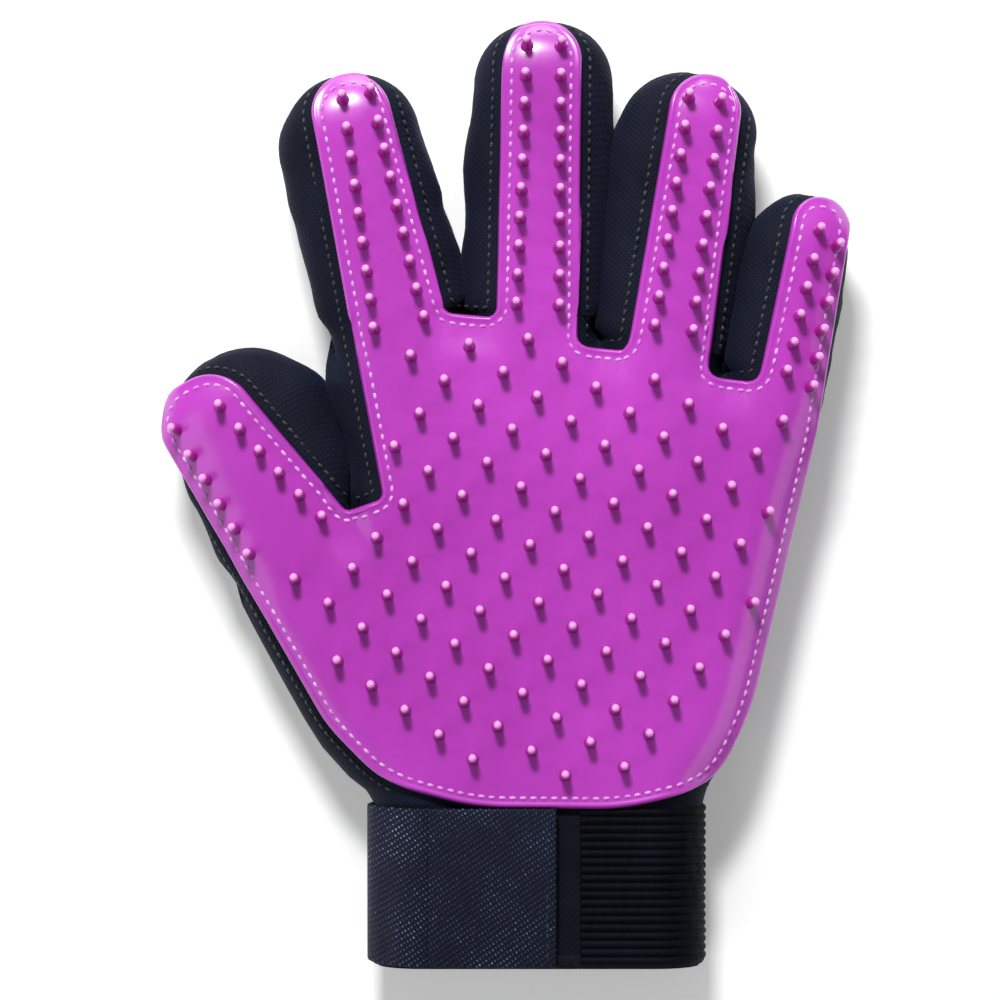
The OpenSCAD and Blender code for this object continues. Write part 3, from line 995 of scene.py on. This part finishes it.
def mark_height(obj):
    """Stores how far up its pin each point is, from 0 to 1, for the painted shade up the stems and the painted
    highlight on the tips.
    """
    top = PIN_RINGS[-1][1]
    one = [max(0.0, h) / top for _, h in PIN_RINGS for _ in range(PIN_SIDES)] + [1.0]
    layer = obj.data.attributes.new("up", "FLOAT", "POINT")
    layer.data.foreach_set("value", one * (len(obj.data.vertices) // len(one)))


STITCH_PITCH = 2.6


def sheet_stitches():
    """The run of pink thread just inside the sheet's border."""
    line = resample(shifted(SHEET_LINE, -2.75, closed=True), STITCH_PITCH)
    base, normal = sheet_frame(line)
    out = {}
    for key, members in grouped(line).items():
        verts, faces = [], []
        for i in members:
            n = Vector(normal[i])
            here = Vector(base[i]) + n * (SHEET + 0.1)
            ahead = Vector(base[(i + 1) % len(line)]) - Vector(base[i - 1])
            add_stitch(verts, faces, here, ahead, n, 1.75, 0.44)
        out[key] = (verts, faces)
    return out


def cloth_top(points):
    """Points on the upper side of the cloth and their surface directions, with a flag where cloth is."""
    def height(pts):
        middle, rise = hand_heights([Vector(p) for p in pts])
        z = middle + rise
        ok = is_inside(pts, HAND_LOOP) & (rise > 3.0)
        for f in FINGERS.values():
            u, s = f.local_many(pts)
            for i in np.nonzero((s > 0) & (s < f.length - 1))[0]:
                h = f.half(s[i])
                if abs(u[i] - f.shift(s[i])) < h - 1.0:
                    z[i] = f.middle_z(s[i]) + f.profile(u[i], s[i])
                    ok[i] = True
        return z, ok
    xy = np.array([(p[0], p[1]) for p in points], float)
    z, ok = height(xy)
    step = 0.5
    gx = (height(xy + (step, 0))[0] - height(xy - (step, 0))[0]) / (2 * step)
    gy = (height(xy + (0, step))[0] - height(xy - (0, step))[0]) / (2 * step)
    n = np.stack([-np.clip(gx, -2, 2), -np.clip(gy, -2, 2), np.ones(len(xy))], 1)
    n /= np.linalg.norm(n, axis=1)[:, None]
    return np.column_stack([xy, z]), n, ok


def cloth_stitches():
    """The dark top stitching in the cloth just outside the sheet."""
    line = resample(shifted(SHEET_LINE, 2.3, closed=True), 2.3)
    base, normal, ok = cloth_top(line)
    far = gap_to(line, [SHEET_LINE + [SHEET_LINE[0]]]) > 2.0
    out = {}
    for key, members in grouped(line).items():
        verts, faces = [], []
        for i in members:
            if not ok[i] or not far[i] or line[i].y < at_cuff(0, 44)[1]:
                continue
            n = Vector(normal[i])
            here = Vector(base[i]) + n * 0.12
            ahead = Vector(base[(i + 1) % len(line)]) - Vector(base[i - 1])
            add_stitch(verts, faces, here, ahead, n, 1.5, 0.36)
        if verts:
            out[key] = (verts, faces)
    return out


# ---------------------------------------------------------------- cuff and strap

def node_box(name):
    """Low and high corners of a CAD node, in millimetres."""
    low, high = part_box(name)
    return Vector(low) / MM, Vector(high) / MM


CUFF_LOW, CUFF_HIGH = node_box("cuff_band")
CUFF_ROUND = (CUFF_HIGH.z - CUFF_LOW.z) / 2


def cuff_section(out, angles):
    """Points of the cuff's cross section moved out by a distance, at angles round its two rounded sides."""
    centre = {1: CUFF_HIGH.x - CUFF_ROUND, -1: CUFF_LOW.x + CUFF_ROUND}
    points = []
    for a in angles:
        side = 1 if math.cos(a) >= 0 else -1
        points.append((centre[side] + (CUFF_ROUND + out) * math.cos(a),
                       CUFF_ROUND + (CUFF_ROUND + out) * math.sin(a)))
    return points


def sweep(path, profile, closed_path=False, closed_profile=True):
    """Faces between copies of a profile along a path; both are lists of points made by place(p, q)."""
    n = len(profile)
    faces = []
    for i in range(len(path) - (0 if closed_path else 1)):
        a = i * n
        b = (i + 1) % len(path) * n
        for k in range(n if closed_profile else n - 1):
            j = (k + 1) % n
            faces.append((a + k, a + j, b + j, b + k))
    return faces


def rounded_slab_profile(width, thick, radius, steps=5):
    """Cross section of a strap: a flat band with rounded edges, as (across, out)."""
    out = []
    for cx, cz, start in ((width - radius, thick - radius, 0), (radius, thick - radius, 90),
                          (radius, radius, 180), (width - radius, radius, 270)):
        for k in range(steps):
            a = math.radians(start + 90 * k / (steps - 1))
            out.append((cx + radius * math.cos(a), cz + radius * math.sin(a)))
    return out


def hem():
    """Rounded binding round the open end of the cuff."""
    low, high = node_box("cuff_hem")
    width = high.y - low.y + 0.6
    profile = rounded_slab_profile(width, 2.4, 1.15)
    angles = [2 * math.pi * k / 96 for k in range(96)]
    verts = []
    for a in angles:
        for y, out in profile:
            ripple = 0.12 * noise.noise(Vector((a * 9, y, 4.0)))
            x, z = cuff_section(out - 1.75 + ripple, [a])[0]
            verts.append((x, low.y + y, z))
    obj = new_object("cuff_binding", verts, sweep(angles, profile, closed_path=True))
    recalculate(obj)
    return obj


def arc_path(start, points, end_angle, out):
    """A path that runs flat over the palm side and then round a side of the cuff, as (x, z, nx, nz)."""
    side = 1 if points > 0 else -1
    centre_x = CUFF_HIGH.x - CUFF_ROUND if side > 0 else CUFF_LOW.x + CUFF_ROUND
    flat = np.linspace(start, centre_x, abs(points))
    path = [(x, CUFF_ROUND * 2 + out, 0.0, 1.0) for x in flat]
    for k in range(1, 40):
        a = math.radians(90 - side * (90 - end_angle) * k / 39)
        path.append((centre_x + (CUFF_ROUND + out) * math.cos(a), CUFF_ROUND + (CUFF_ROUND + out) * math.sin(a),
                     math.cos(a), math.sin(a)))
    return path


def swept_band(name, path, low_y, profile, wobble=0.0, seed=1.0, thin=None):
    """A band that follows a path in the cuff's cross section; thin squeezes it about its middle."""
    verts = []
    middle = max(out for _, out in profile) / 2
    for i, (x, z, nx, nz) in enumerate(path):
        for y, out in profile:
            if thin:
                out = middle + (out - middle) * thin[i]
            lift = out + wobble * noise.noise(Vector((i * 0.35, y * 0.22, seed)))
            verts.append((x + nx * lift, low_y + y, z + nz * lift))
    faces = sweep(path, profile)
    n = len(profile)
    faces.append(tuple(range(n)))
    faces.append(tuple(reversed(range(n * (len(path) - 1), n * len(path)))))
    obj = new_object(name, verts, faces)
    recalculate_all(obj)
    return obj


def recalculate_all(obj):
    bm = bmesh.new()
    bm.from_mesh(obj.data)
    bmesh.ops.recalc_face_normals(bm, faces=bm.faces)
    bm.to_mesh(obj.data)
    bm.free()


def elastic():
    """Ribbed elastic on the palm side, from the tape round to the little finger's side."""
    low, high = node_box("elastic_panel")
    low.y -= 2.6
    width = high.y - low.y
    ribs = 19
    profile = []
    count = ribs * 8
    for k in range(count + 1):
        t = k / count
        rib = abs(math.sin(math.pi * t * ribs)) ** 0.7
        profile.append((width * t, 0.4 + 0.65 * rib))
    profile += [(width, 0.0), (0.0, 0.0)]
    path = arc_path(low.x - 1.0, 30, -30, 0.05)
    return swept_band("ribbed_elastic", path, low.y, profile, 0.18, 3.0)


TAPE_SPREAD = 3.2


def tape_box(node):
    """A CAD tape's corners, widened to the tape's full width on the cuff."""
    low, high = node_box(node)
    spread = Vector((0, TAPE_SPREAD, 0))
    return low - spread, high + spread


def pressed(distance):
    """Share of the tape's full thickness at a distance from its fold."""
    return 0.3 + 0.7 * smooth(distance / 2.6)


def tape_anchor():
    """The tape from where the flap folds, round the thumb side to the back of the cuff."""
    low, high = tape_box("strap_anchor")
    width = high.y - low.y
    profile = rounded_slab_profile(width, 1.5, 0.6)
    flap = tape_box("strap_flap")[0]
    flat = 8
    rise = flap.z - 2 * CUFF_ROUND - 0.1
    path = []
    thin = []
    for i, (x, z, nx, nz) in enumerate(arc_path(flap.x - 0.06, -flat, -88, 0.1)):
        lift = rise * (1 - smooth((i - flat) / 9))
        path.append((x + nx * lift, z + nz * lift, nx, nz))
        thin.append(pressed(flap.x - x))
    return swept_band("tape_anchor", path, low.y, profile, 0.12, 5.0, thin)


def tape_flap():
    """The flap of the tape, which closes over the loop patch and opens about its fold."""
    low, high = tape_box("strap_flap")
    width = high.y - low.y
    profile = rounded_slab_profile(width, high.z - low.z, 0.7)
    xs = np.linspace(low.x, high.x, 60)
    verts = []
    for i, x in enumerate(xs):
        end = smooth((high.x - x) / 1.2)
        for y, out in profile:
            round_end = (0.75 + 0.25 * end) * pressed(x - low.x)
            wave = 0.3 * noise.noise(Vector((x * 0.09, y * 0.1, 8.0))) * smooth((x - low.x) / 6)
            mid = (high.z - low.z) / 2
            verts.append((x, low.y + y, low.z + mid + (out - mid) * round_end + wave))
    n = len(profile)
    faces = sweep(xs, profile) + [tuple(range(n)), tuple(reversed(range(n * 59, n * 60)))]
    obj = new_object("tape_flap", verts, faces)
    recalculate_all(obj)
    return obj


def patch(name, node, seed, hooks):
    """A hook or loop patch: a thin backing with rows of small hooks, or a napped face."""
    low, high = node_box(node)
    size = high - low
    verts, faces = [], []
    nx, ny = int(size.x / 0.9), int(size.y / 0.9)
    face_up = not hooks
    outer = high.z if face_up else low.z
    inner = low.z if face_up else high.z
    for j in range(ny + 1):
        for i in range(nx + 1):
            x = low.x + size.x * i / nx
            y = low.y + size.y * j / ny
            edge = min(i, j, nx - i, ny - j) == 0
            rough = 0.22 * noise.noise(Vector((x * 1.9, y * 1.9, seed)))
            depth = 0.25 if hooks else 0.55
            z = inner + (outer - inner) * (0.15 if edge else depth + rough)
            verts.append((x, y, z))
    for j in range(ny):
        for i in range(nx):
            a = j * (nx + 1) + i
            faces.append((a, a + 1, a + nx + 2, a + nx + 1))
    start = len(verts)
    for x, y in ((low.x, low.y), (high.x, low.y), (high.x, high.y), (low.x, high.y)):
        verts.append((x, y, inner))
    faces.append((start, start + 3, start + 2, start + 1))
    if hooks:
        step = 1.3
        up = Vector((0, 0, outer - inner)).normalized()
        rings = ((0.2, 0.0), (0.14, 0.28), (0.26, 0.36), (0.12, 0.46))
        for j in range(int(size.y / step) - 1):
            for i in range(int(size.x / step) - 1):
                base = Vector((low.x + step * (i + 1), low.y + step * (j + 1), inner + (outer - inner) * 0.25))
                add_turned(verts, faces, base, up, rings, 6)
    obj = new_object(name, verts, faces)
    recalculate_all(obj)
    return obj


def edge_stitches(node):
    """A row of stitching near the free end of the tape's flap."""
    low, high = tape_box(node)
    verts, faces = [], []
    up = Vector((0, 0, 1))
    for y in np.arange(low.y + 3.0, high.y - 3.0, 2.4):
        wave = 0.3 * noise.noise(Vector(((high.x - 2.2) * 0.09, (y - low.y) * 0.1, 8.0)))
        add_stitch(verts, faces, Vector((high.x - 2.2, y, high.z + wave)), Vector((0, 1, 0)), up, 1.5, 0.28)
    return new_object("tape_stitches", verts, faces)


# ---------------------------------------------------------------- materials

class Nodes:
    """A small helper to build a material's nodes."""

    def __init__(self, name):
        self.material = bpy.data.materials.new(name)
        self.material.use_nodes = True
        self.tree = self.material.node_tree
        self.shader = self.tree.nodes["Principled BSDF"]

    def add(self, kind, **values):
        node = self.tree.nodes.new(kind)
        for key, value in values.items():
            if isinstance(value, bpy.types.NodeSocket):
                self.tree.links.new(value, node.inputs[key])
            elif key in node.inputs.keys():
                node.inputs[key].default_value = value
            else:
                setattr(node, key, value)
        return node

    def link(self, a, b):
        self.tree.links.new(a, b)

    def rest(self, scale=(1, 1, 1), rotate=(0, 0, 0)):
        """Rest coordinates in millimetres, so that patterns stay put when the piece moves."""
        at = self.add("ShaderNodeAttribute", attribute_name="rest")
        mapping = self.add("ShaderNodeMapping")
        mapping.inputs["Scale"].default_value = [1000 * v for v in scale]
        mapping.inputs["Rotation"].default_value = rotate
        self.link(at.outputs["Vector"], mapping.inputs["Vector"])
        return mapping.outputs["Vector"]

    def noise(self, vector, scale, detail=2.0):
        node = self.add("ShaderNodeTexNoise")
        node.inputs["Scale"].default_value = scale
        node.inputs["Detail"].default_value = detail
        self.link(vector, node.inputs["Vector"])
        return node.outputs["Fac"]

    def wave(self, vector, scale, direction="X", distortion=0.0):
        node = self.add("ShaderNodeTexWave", bands_direction=direction)
        node.inputs["Scale"].default_value = scale
        node.inputs["Distortion"].default_value = distortion
        self.link(vector, node.inputs["Vector"])
        return node.outputs["Fac"]

    def ramp(self, fac, *stops):
        node = self.add("ShaderNodeValToRGB")
        ramp = node.color_ramp
        while len(ramp.elements) < len(stops):
            ramp.elements.new(0.5)
        for element, (at, colour) in zip(ramp.elements, stops):
            element.position = at
            element.color = (*colour, 1)
        self.link(fac, node.inputs["Fac"])
        return node.outputs["Color"]

    def math(self, kind, a, b):
        node = self.add("ShaderNodeMath", operation=kind)
        for i, value in enumerate((a, b)):
            if isinstance(value, bpy.types.NodeSocket):
                self.link(value, node.inputs[i])
            else:
                node.inputs[i].default_value = value
        return node.outputs[0]

    def bump(self, *layers):
        """Stacks bumps, each (height, strength, distance in millimetres)."""
        previous = None
        for height, strength, distance in layers:
            node = self.add("ShaderNodeBump")
            node.inputs["Strength"].default_value = strength
            node.inputs["Distance"].default_value = distance * MM
            self.link(height, node.inputs["Height"])
            if previous:
                self.link(previous, node.inputs["Normal"])
            previous = node.outputs["Normal"]
        self.link(previous, self.shader.inputs["Normal"])

    def base(self, colour):
        self.link(colour, self.shader.inputs["Base Color"])

    def rough(self, value, low, high):
        node = self.add("ShaderNodeMapRange")
        node.inputs["To Min"].default_value = low
        node.inputs["To Max"].default_value = high
        self.link(value, node.inputs["Value"])
        self.link(node.outputs[0], self.shader.inputs["Roughness"])

    def set(self, **values):
        for name, value in values.items():
            self.shader.inputs[name.replace("_", " ")].default_value = value


def weave(nodes, pitch, angle):
    """A diagonal weave: two sets of threads crossing, as a height from 0 to 1."""
    turned = nodes.rest(rotate=(0.5, 0.45, math.radians(angle)))
    a = nodes.wave(turned, 0.159 * 2 / pitch, "X", 0.6)
    b = nodes.wave(turned, 0.159 * 2 / pitch, "Y", 0.6)
    return nodes.math("MULTIPLY", a, b), a, b


def stretch_fabric():
    nodes = Nodes("stretch_fabric")
    threads, a, b = weave(nodes, 1.0, 52)
    patchy = nodes.noise(nodes.rest(), 0.05, 3.0)
    fuzz = nodes.noise(nodes.rest(), 1.6, 2.0)
    shade = nodes.math("ADD", nodes.math("MULTIPLY", threads, 0.35), nodes.math("MULTIPLY", patchy, 0.75))
    # Painted shade: the cloth below the top of the cuff, which shows in the gaps between tape, elastic and binding,
    # is made darker.
    parts = nodes.add("ShaderNodeSeparateXYZ")
    nodes.link(nodes.rest(), parts.inputs[0])
    shade_under_cuff = nodes.math("LESS_THAN", parts.outputs["Y"], CUFF_HIGH.y)
    shade = nodes.math("MULTIPLY", shade, nodes.math("SUBTRACT", 1.0, nodes.math("MULTIPLY", shade_under_cuff, 0.6)))
    nodes.base(nodes.ramp(shade, (0.15, (0.0022, 0.003, 0.0075)), (0.5, (0.0048, 0.0066, 0.017)),
                          (0.85, (0.0105, 0.0145, 0.036))))
    nodes.rough(fuzz, 0.62, 0.85)
    nodes.bump((patchy, 0.25, 0.6), (threads, 0.5, 0.16), (fuzz, 0.3, 0.07))
    nodes.set(Sheen_Weight=0.045, Sheen_Roughness=0.5, Sheen_Tint=(0.45, 0.56, 1.0, 1), Specular_IOR_Level=0.12)
    return nodes.material


def silicone():
    """Glossy moulded sheet with faint clouds in its colour."""
    nodes = Nodes("silicone")
    cloud = nodes.noise(nodes.rest(), 0.018, 3.0)
    grain = nodes.noise(nodes.rest(), 0.9, 3.0)
    orange = nodes.noise(nodes.rest(), 0.22, 2.0)
    nodes.base(nodes.ramp(cloud, (0.3, (0.41, 0.032, 0.42)), (0.55, (0.48, 0.044, 0.50)),
                          (0.8, (0.57, 0.058, 0.59))))
    nodes.rough(grain, 0.24, 0.42)
    nodes.bump((orange, 0.22, 0.25), (grain, 0.1, 0.05))
    nodes.set(Subsurface_Weight=0.08, Subsurface_Radius=(0.004, 0.001, 0.003), Coat_Weight=0.7,
              Coat_Roughness=0.18, Specular_IOR_Level=0.4)
    return nodes.material


def pin_rubber():
    """The pins: the sheet's colour at the foot, painted shade in deep pink up the stem, and a painted highlight in
    pale pink at the tip.
    """
    nodes = Nodes("silicone_pins")
    up = nodes.add("ShaderNodeAttribute", attribute_name="up").outputs["Fac"]
    wear_and_highlight = nodes.noise(nodes.rest(), 0.5, 2.0)
    shade = nodes.math("ADD", up, nodes.math("MULTIPLY", nodes.math("SUBTRACT", wear_and_highlight, 0.5), 0.12))
    # Painted shade and painted highlight: the colour follows the height up each pin, dark up the stem and pale at
    # the tip, with noise to break the edges.
    nodes.base(nodes.ramp(shade, (0.0, (0.46, 0.04, 0.47)), (0.07, (0.34, 0.012, 0.24)),
                          (0.6, (0.44, 0.014, 0.29)), (0.84, (0.66, 0.05, 0.46)), (0.96, (0.92, 0.36, 0.82))))
    nodes.rough(wear_and_highlight, 0.22, 0.4)
    nodes.bump((wear_and_highlight, 0.1, 0.1))
    nodes.set(Subsurface_Weight=0.08, Subsurface_Radius=(0.004, 0.001, 0.003), Coat_Weight=0.4,
              Coat_Roughness=0.12, Specular_IOR_Level=0.4)
    return nodes.material


def thread(name, dark, light):
    nodes = Nodes(name)
    twist = nodes.wave(nodes.rest(rotate=(0.3, 0.2, 0.7)), 0.159 * 6, "DIAGONAL", 1.0)
    uneven = nodes.noise(nodes.rest(), 0.35, 2.0)
    nodes.base(nodes.ramp(uneven, (0.35, dark), (0.7, light)))
    nodes.rough(uneven, 0.4, 0.6)
    nodes.bump((twist, 0.5, 0.08))
    nodes.set(Sheen_Weight=0.2)
    return nodes.material


def tape_fabric():
    """Woven tape: steep diagonal ribs with light flecks where the threads catch the light."""
    nodes = Nodes("strap_tape")
    ribs = nodes.wave(nodes.rest(rotate=(0, 0, math.radians(56))), 0.159 * 2 / 1.25, "X", 0.9)
    cross = nodes.wave(nodes.rest(rotate=(0, 0, math.radians(-32))), 0.159 * 2 / 0.95, "X", 0.9)
    patchy = nodes.noise(nodes.rest(), 0.09, 3.0)
    fleck = nodes.noise(nodes.rest(), 1.15, 1.0)
    threads = nodes.math("MULTIPLY", ribs, cross)
    spots = nodes.math("MULTIPLY", threads, nodes.math("MULTIPLY", fleck, patchy))
    nodes.base(nodes.ramp(spots, (0.04, (0.005, 0.007, 0.017)), (0.17, (0.015, 0.021, 0.05)),
                          (0.29, (0.065, 0.08, 0.15)), (0.42, (0.32, 0.36, 0.5))))
    nodes.rough(fleck, 0.5, 0.8)
    nodes.bump((threads, 0.75, 0.35), (fleck, 0.25, 0.08))
    nodes.set(Sheen_Weight=0.03, Sheen_Tint=(0.45, 0.56, 1.0, 1), Specular_IOR_Level=0.12)
    return nodes.material


def elastic_fabric():
    nodes = Nodes("ribbed_elastic")
    threads = nodes.wave(nodes.rest(), 0.159 * 2 / 0.7, "X", 0.5)
    patchy = nodes.noise(nodes.rest(), 0.06, 3.0)
    fuzz = nodes.noise(nodes.rest(), 1.8, 2.0)
    nodes.base(nodes.ramp(patchy, (0.3, (0.0008, 0.001, 0.0025)), (0.75, (0.003, 0.0036, 0.008))))
    nodes.rough(fuzz, 0.5, 0.75)
    nodes.bump((threads, 0.4, 0.12), (fuzz, 0.2, 0.06))
    nodes.set(Sheen_Weight=0.005, Sheen_Tint=(0.5, 0.6, 1.0, 1), Specular_IOR_Level=0.06)
    return nodes.material


def binding_fabric():
    nodes = Nodes("hem_binding")
    threads = nodes.wave(nodes.rest(), 0.159 * 2 / 0.8, "X", 0.4)
    fuzz = nodes.noise(nodes.rest(), 1.2, 2.0)
    nodes.base(nodes.ramp(fuzz, (0.3, (0.002, 0.0025, 0.005)), (0.8, (0.008, 0.0095, 0.018))))
    nodes.rough(fuzz, 0.6, 0.85)
    nodes.bump((threads, 0.5, 0.18), (fuzz, 0.2, 0.06))
    nodes.set(Sheen_Weight=0.02, Specular_IOR_Level=0.1)
    return nodes.material


def napped(name, low, high, rough):
    """Loop or hook tape: a fine fuzzy or bristly face."""
    nodes = Nodes(name)
    nap = nodes.noise(nodes.rest(), 1.5, 4.0)
    patchy = nodes.noise(nodes.rest(), 0.2, 2.0)
    nodes.base(nodes.ramp(nodes.math("MULTIPLY", nap, patchy), (0.1, low), (0.45, high)))
    nodes.rough(nap, rough, 0.95)
    nodes.bump((nap, 0.8, 0.3))
    nodes.set(Sheen_Weight=0.3)
    return nodes.material


def floor_material():
    nodes = Nodes("floor")
    nodes.set(Base_Color=(0.9, 0.9, 0.9, 1), Roughness=0.9, Emission_Color=(1, 1, 1, 1), Emission_Strength=0.2)
    return nodes.material


MATERIALS = {
    "stretch_fabric": stretch_fabric(),
    "silicone": silicone(),
    "pins": pin_rubber(),
    "pink_thread": thread("pink_thread", (0.62, 0.16, 0.66), (0.86, 0.46, 0.88)),
    "dark_thread": thread("dark_thread", (0.002, 0.0025, 0.005), (0.02, 0.023, 0.036)),
    "strap_tape": tape_fabric(),
    "ribbed_elastic": elastic_fabric(),
    "hem_binding": binding_fabric(),
    "loop_tape": napped("loop_tape", (0.006, 0.006, 0.009), (0.035, 0.037, 0.05), 0.8),
    "hook_tape": napped("hook_tape", (0.004, 0.004, 0.006), (0.02, 0.021, 0.028), 0.4),
}


# ---------------------------------------------------------------- putting the glove together

def dress(obj, material, nodes=()):
    """Gives a piece its material and slot, and hides the CAD nodes it stands for."""
    obj.data.materials.clear()
    obj.data.materials.append(MATERIALS[material])
    if "rest" not in obj.data.attributes:
        keep_rest(obj)
    if nodes:
        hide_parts(*nodes)
    return obj


def attach(obj, key):
    """Rides a piece on the hand; a finger's piece only has its place baked into its mesh."""
    if key is None:
        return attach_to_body(obj, "hand")
    finger = FINGERS[key[0]]
    still = 1.8
    if key[1] == "base":
        start, end = 0.0, finger.ring - still
    else:
        start, end = finger.ring + still, 2 * finger.fold - finger.ring - still
    axis_z = TOP * MM
    points = [Vector((*finger.place(0.0, s), 0)) * MM + Vector((0, 0, axis_z)) for s in (start, end)]
    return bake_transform(obj)


def part_name(base, key):
    return f"palm_{base}" if key is None else f"{key[0]}_{base}_{key[1]}"


def build_fabric():
    hand = dress(hand_fabric(), "stretch_fabric",
                 ("palm_panel", "back_panel", "thumb_gusset", "cuff_band"))
    attach(hand, None)
    for finger in FINGERS.values():
        for part, sleeve in (("base", "lower"), ("end", "upper")):
            obj = dress(finger_fabric(finger, part), "stretch_fabric",
                        (f"{finger.name}_sleeve_{sleeve}",))
            attach(obj, (finger.name, part))


def build_sheet():
    verts, faces, plan = silicone_sheet()
    for key, (some, mine) in split_by_region(verts, faces, plan).items():
        obj = new_object(part_name("silicone", key), some, mine)
        if key is None:
            nodes = ("palm_sheet", "palm_sheet_sides")
        else:
            nodes = (f"{key[0]}_sheet_{'lower' if key[1] == 'base' else 'upper'}",)
        attach(dress(obj, "silicone", nodes), key)


def build_details():
    for base, material, groups in (("pins", "pins", all_pins()),
                                   ("stitches", "pink_thread", sheet_stitches()),
                                   ("topstitch", "dark_thread", cloth_stitches())):
        for key, (verts, faces) in groups.items():
            obj = new_object(part_name(base, key), verts, faces)
            if base == "pins":
                mark_height(obj)
            attach(dress(obj, material), key)


def build_cuff():
    for obj, material, node, body in (
            (hem(), "hem_binding", "cuff_hem", "hand"),
            (elastic(), "ribbed_elastic", "elastic_panel", "hand"),
            (tape_anchor(), "strap_tape", "strap_anchor", "hand"),
            (patch("loop_face", "loop_patch", 3.0, False), "loop_tape", "loop_patch", "hand"),
            (tape_flap(), "strap_tape", "strap_flap", "strap"),
            (patch("hook_face", "hook_patch", 6.0, True), "hook_tape", "hook_patch", "strap")):
        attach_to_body(dress(obj, material, (node,)), body)
    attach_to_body(dress(edge_stitches("strap_flap"), "dark_thread"), "strap")


# ---------------------------------------------------------------- stage, light and camera

def build_floor():
    mesh = bpy.data.meshes.new("floor")
    side = 3.0
    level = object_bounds()[0][2] - 0.0002
    mesh.from_pydata([(-side, -side, level), (side, -side, level), (side, side, level),
                      (-side, side, level)], [], [(0, 1, 2, 3)])
    obj = bpy.data.objects.new("floor", mesh)
    bpy.context.scene.collection.objects.link(obj)
    mesh.materials.append(floor_material())


def area_light(name, place, target, size, power):
    light = bpy.data.lights.new(name, "AREA")
    light.shape = "RECTANGLE"
    light.size, light.size_y = size
    light.energy = power
    obj = bpy.data.objects.new(name, light)
    obj.location = place
    obj.rotation_euler = (Vector(target) - Vector(place)).to_track_quat("-Z", "Y").to_euler()
    bpy.context.scene.collection.objects.link(obj)


def build_light():
    middle = (-0.01, 0.02, 0.02)
    area_light("key", (-0.24, 1.18, 1.22), middle, (0.34, 0.26), 28.0)
    area_light("low gloss", (0.05, 1.4, 0.45), middle, (0.7, 0.25), 5.0)
    area_light("left fill", (-1.4, -0.6, 1.2), middle, (1.8, 1.8), 11.5)
    area_light("right fill", (1.2, -0.5, 0.9), middle, (0.9, 0.9), 3.0)
    world = bpy.data.worlds.new("studio")
    world.use_nodes = True
    world.node_tree.nodes["Background"].inputs["Color"].default_value = (1, 1, 1, 1)
    world.node_tree.nodes["Background"].inputs["Strength"].default_value = 0.15
    bpy.context.scene.world = world
    bpy.context.scene.view_settings.view_transform = "Standard"


def build_camera():
    camera = bpy.data.cameras.new("camera")
    camera.lens = 120
    camera.sensor_width = 36
    camera.clip_start = 0.05
    framed = 0.250
    height = framed * camera.lens / camera.sensor_width
    obj = bpy.data.objects.new("camera", camera)
    obj.location = (-0.009, 0.022, height + 0.024)
    bpy.context.scene.collection.objects.link(obj)
    bpy.context.scene.camera = obj


build_fabric()
build_sheet()
build_details()
build_cuff()
build_floor()
build_light()
build_camera()
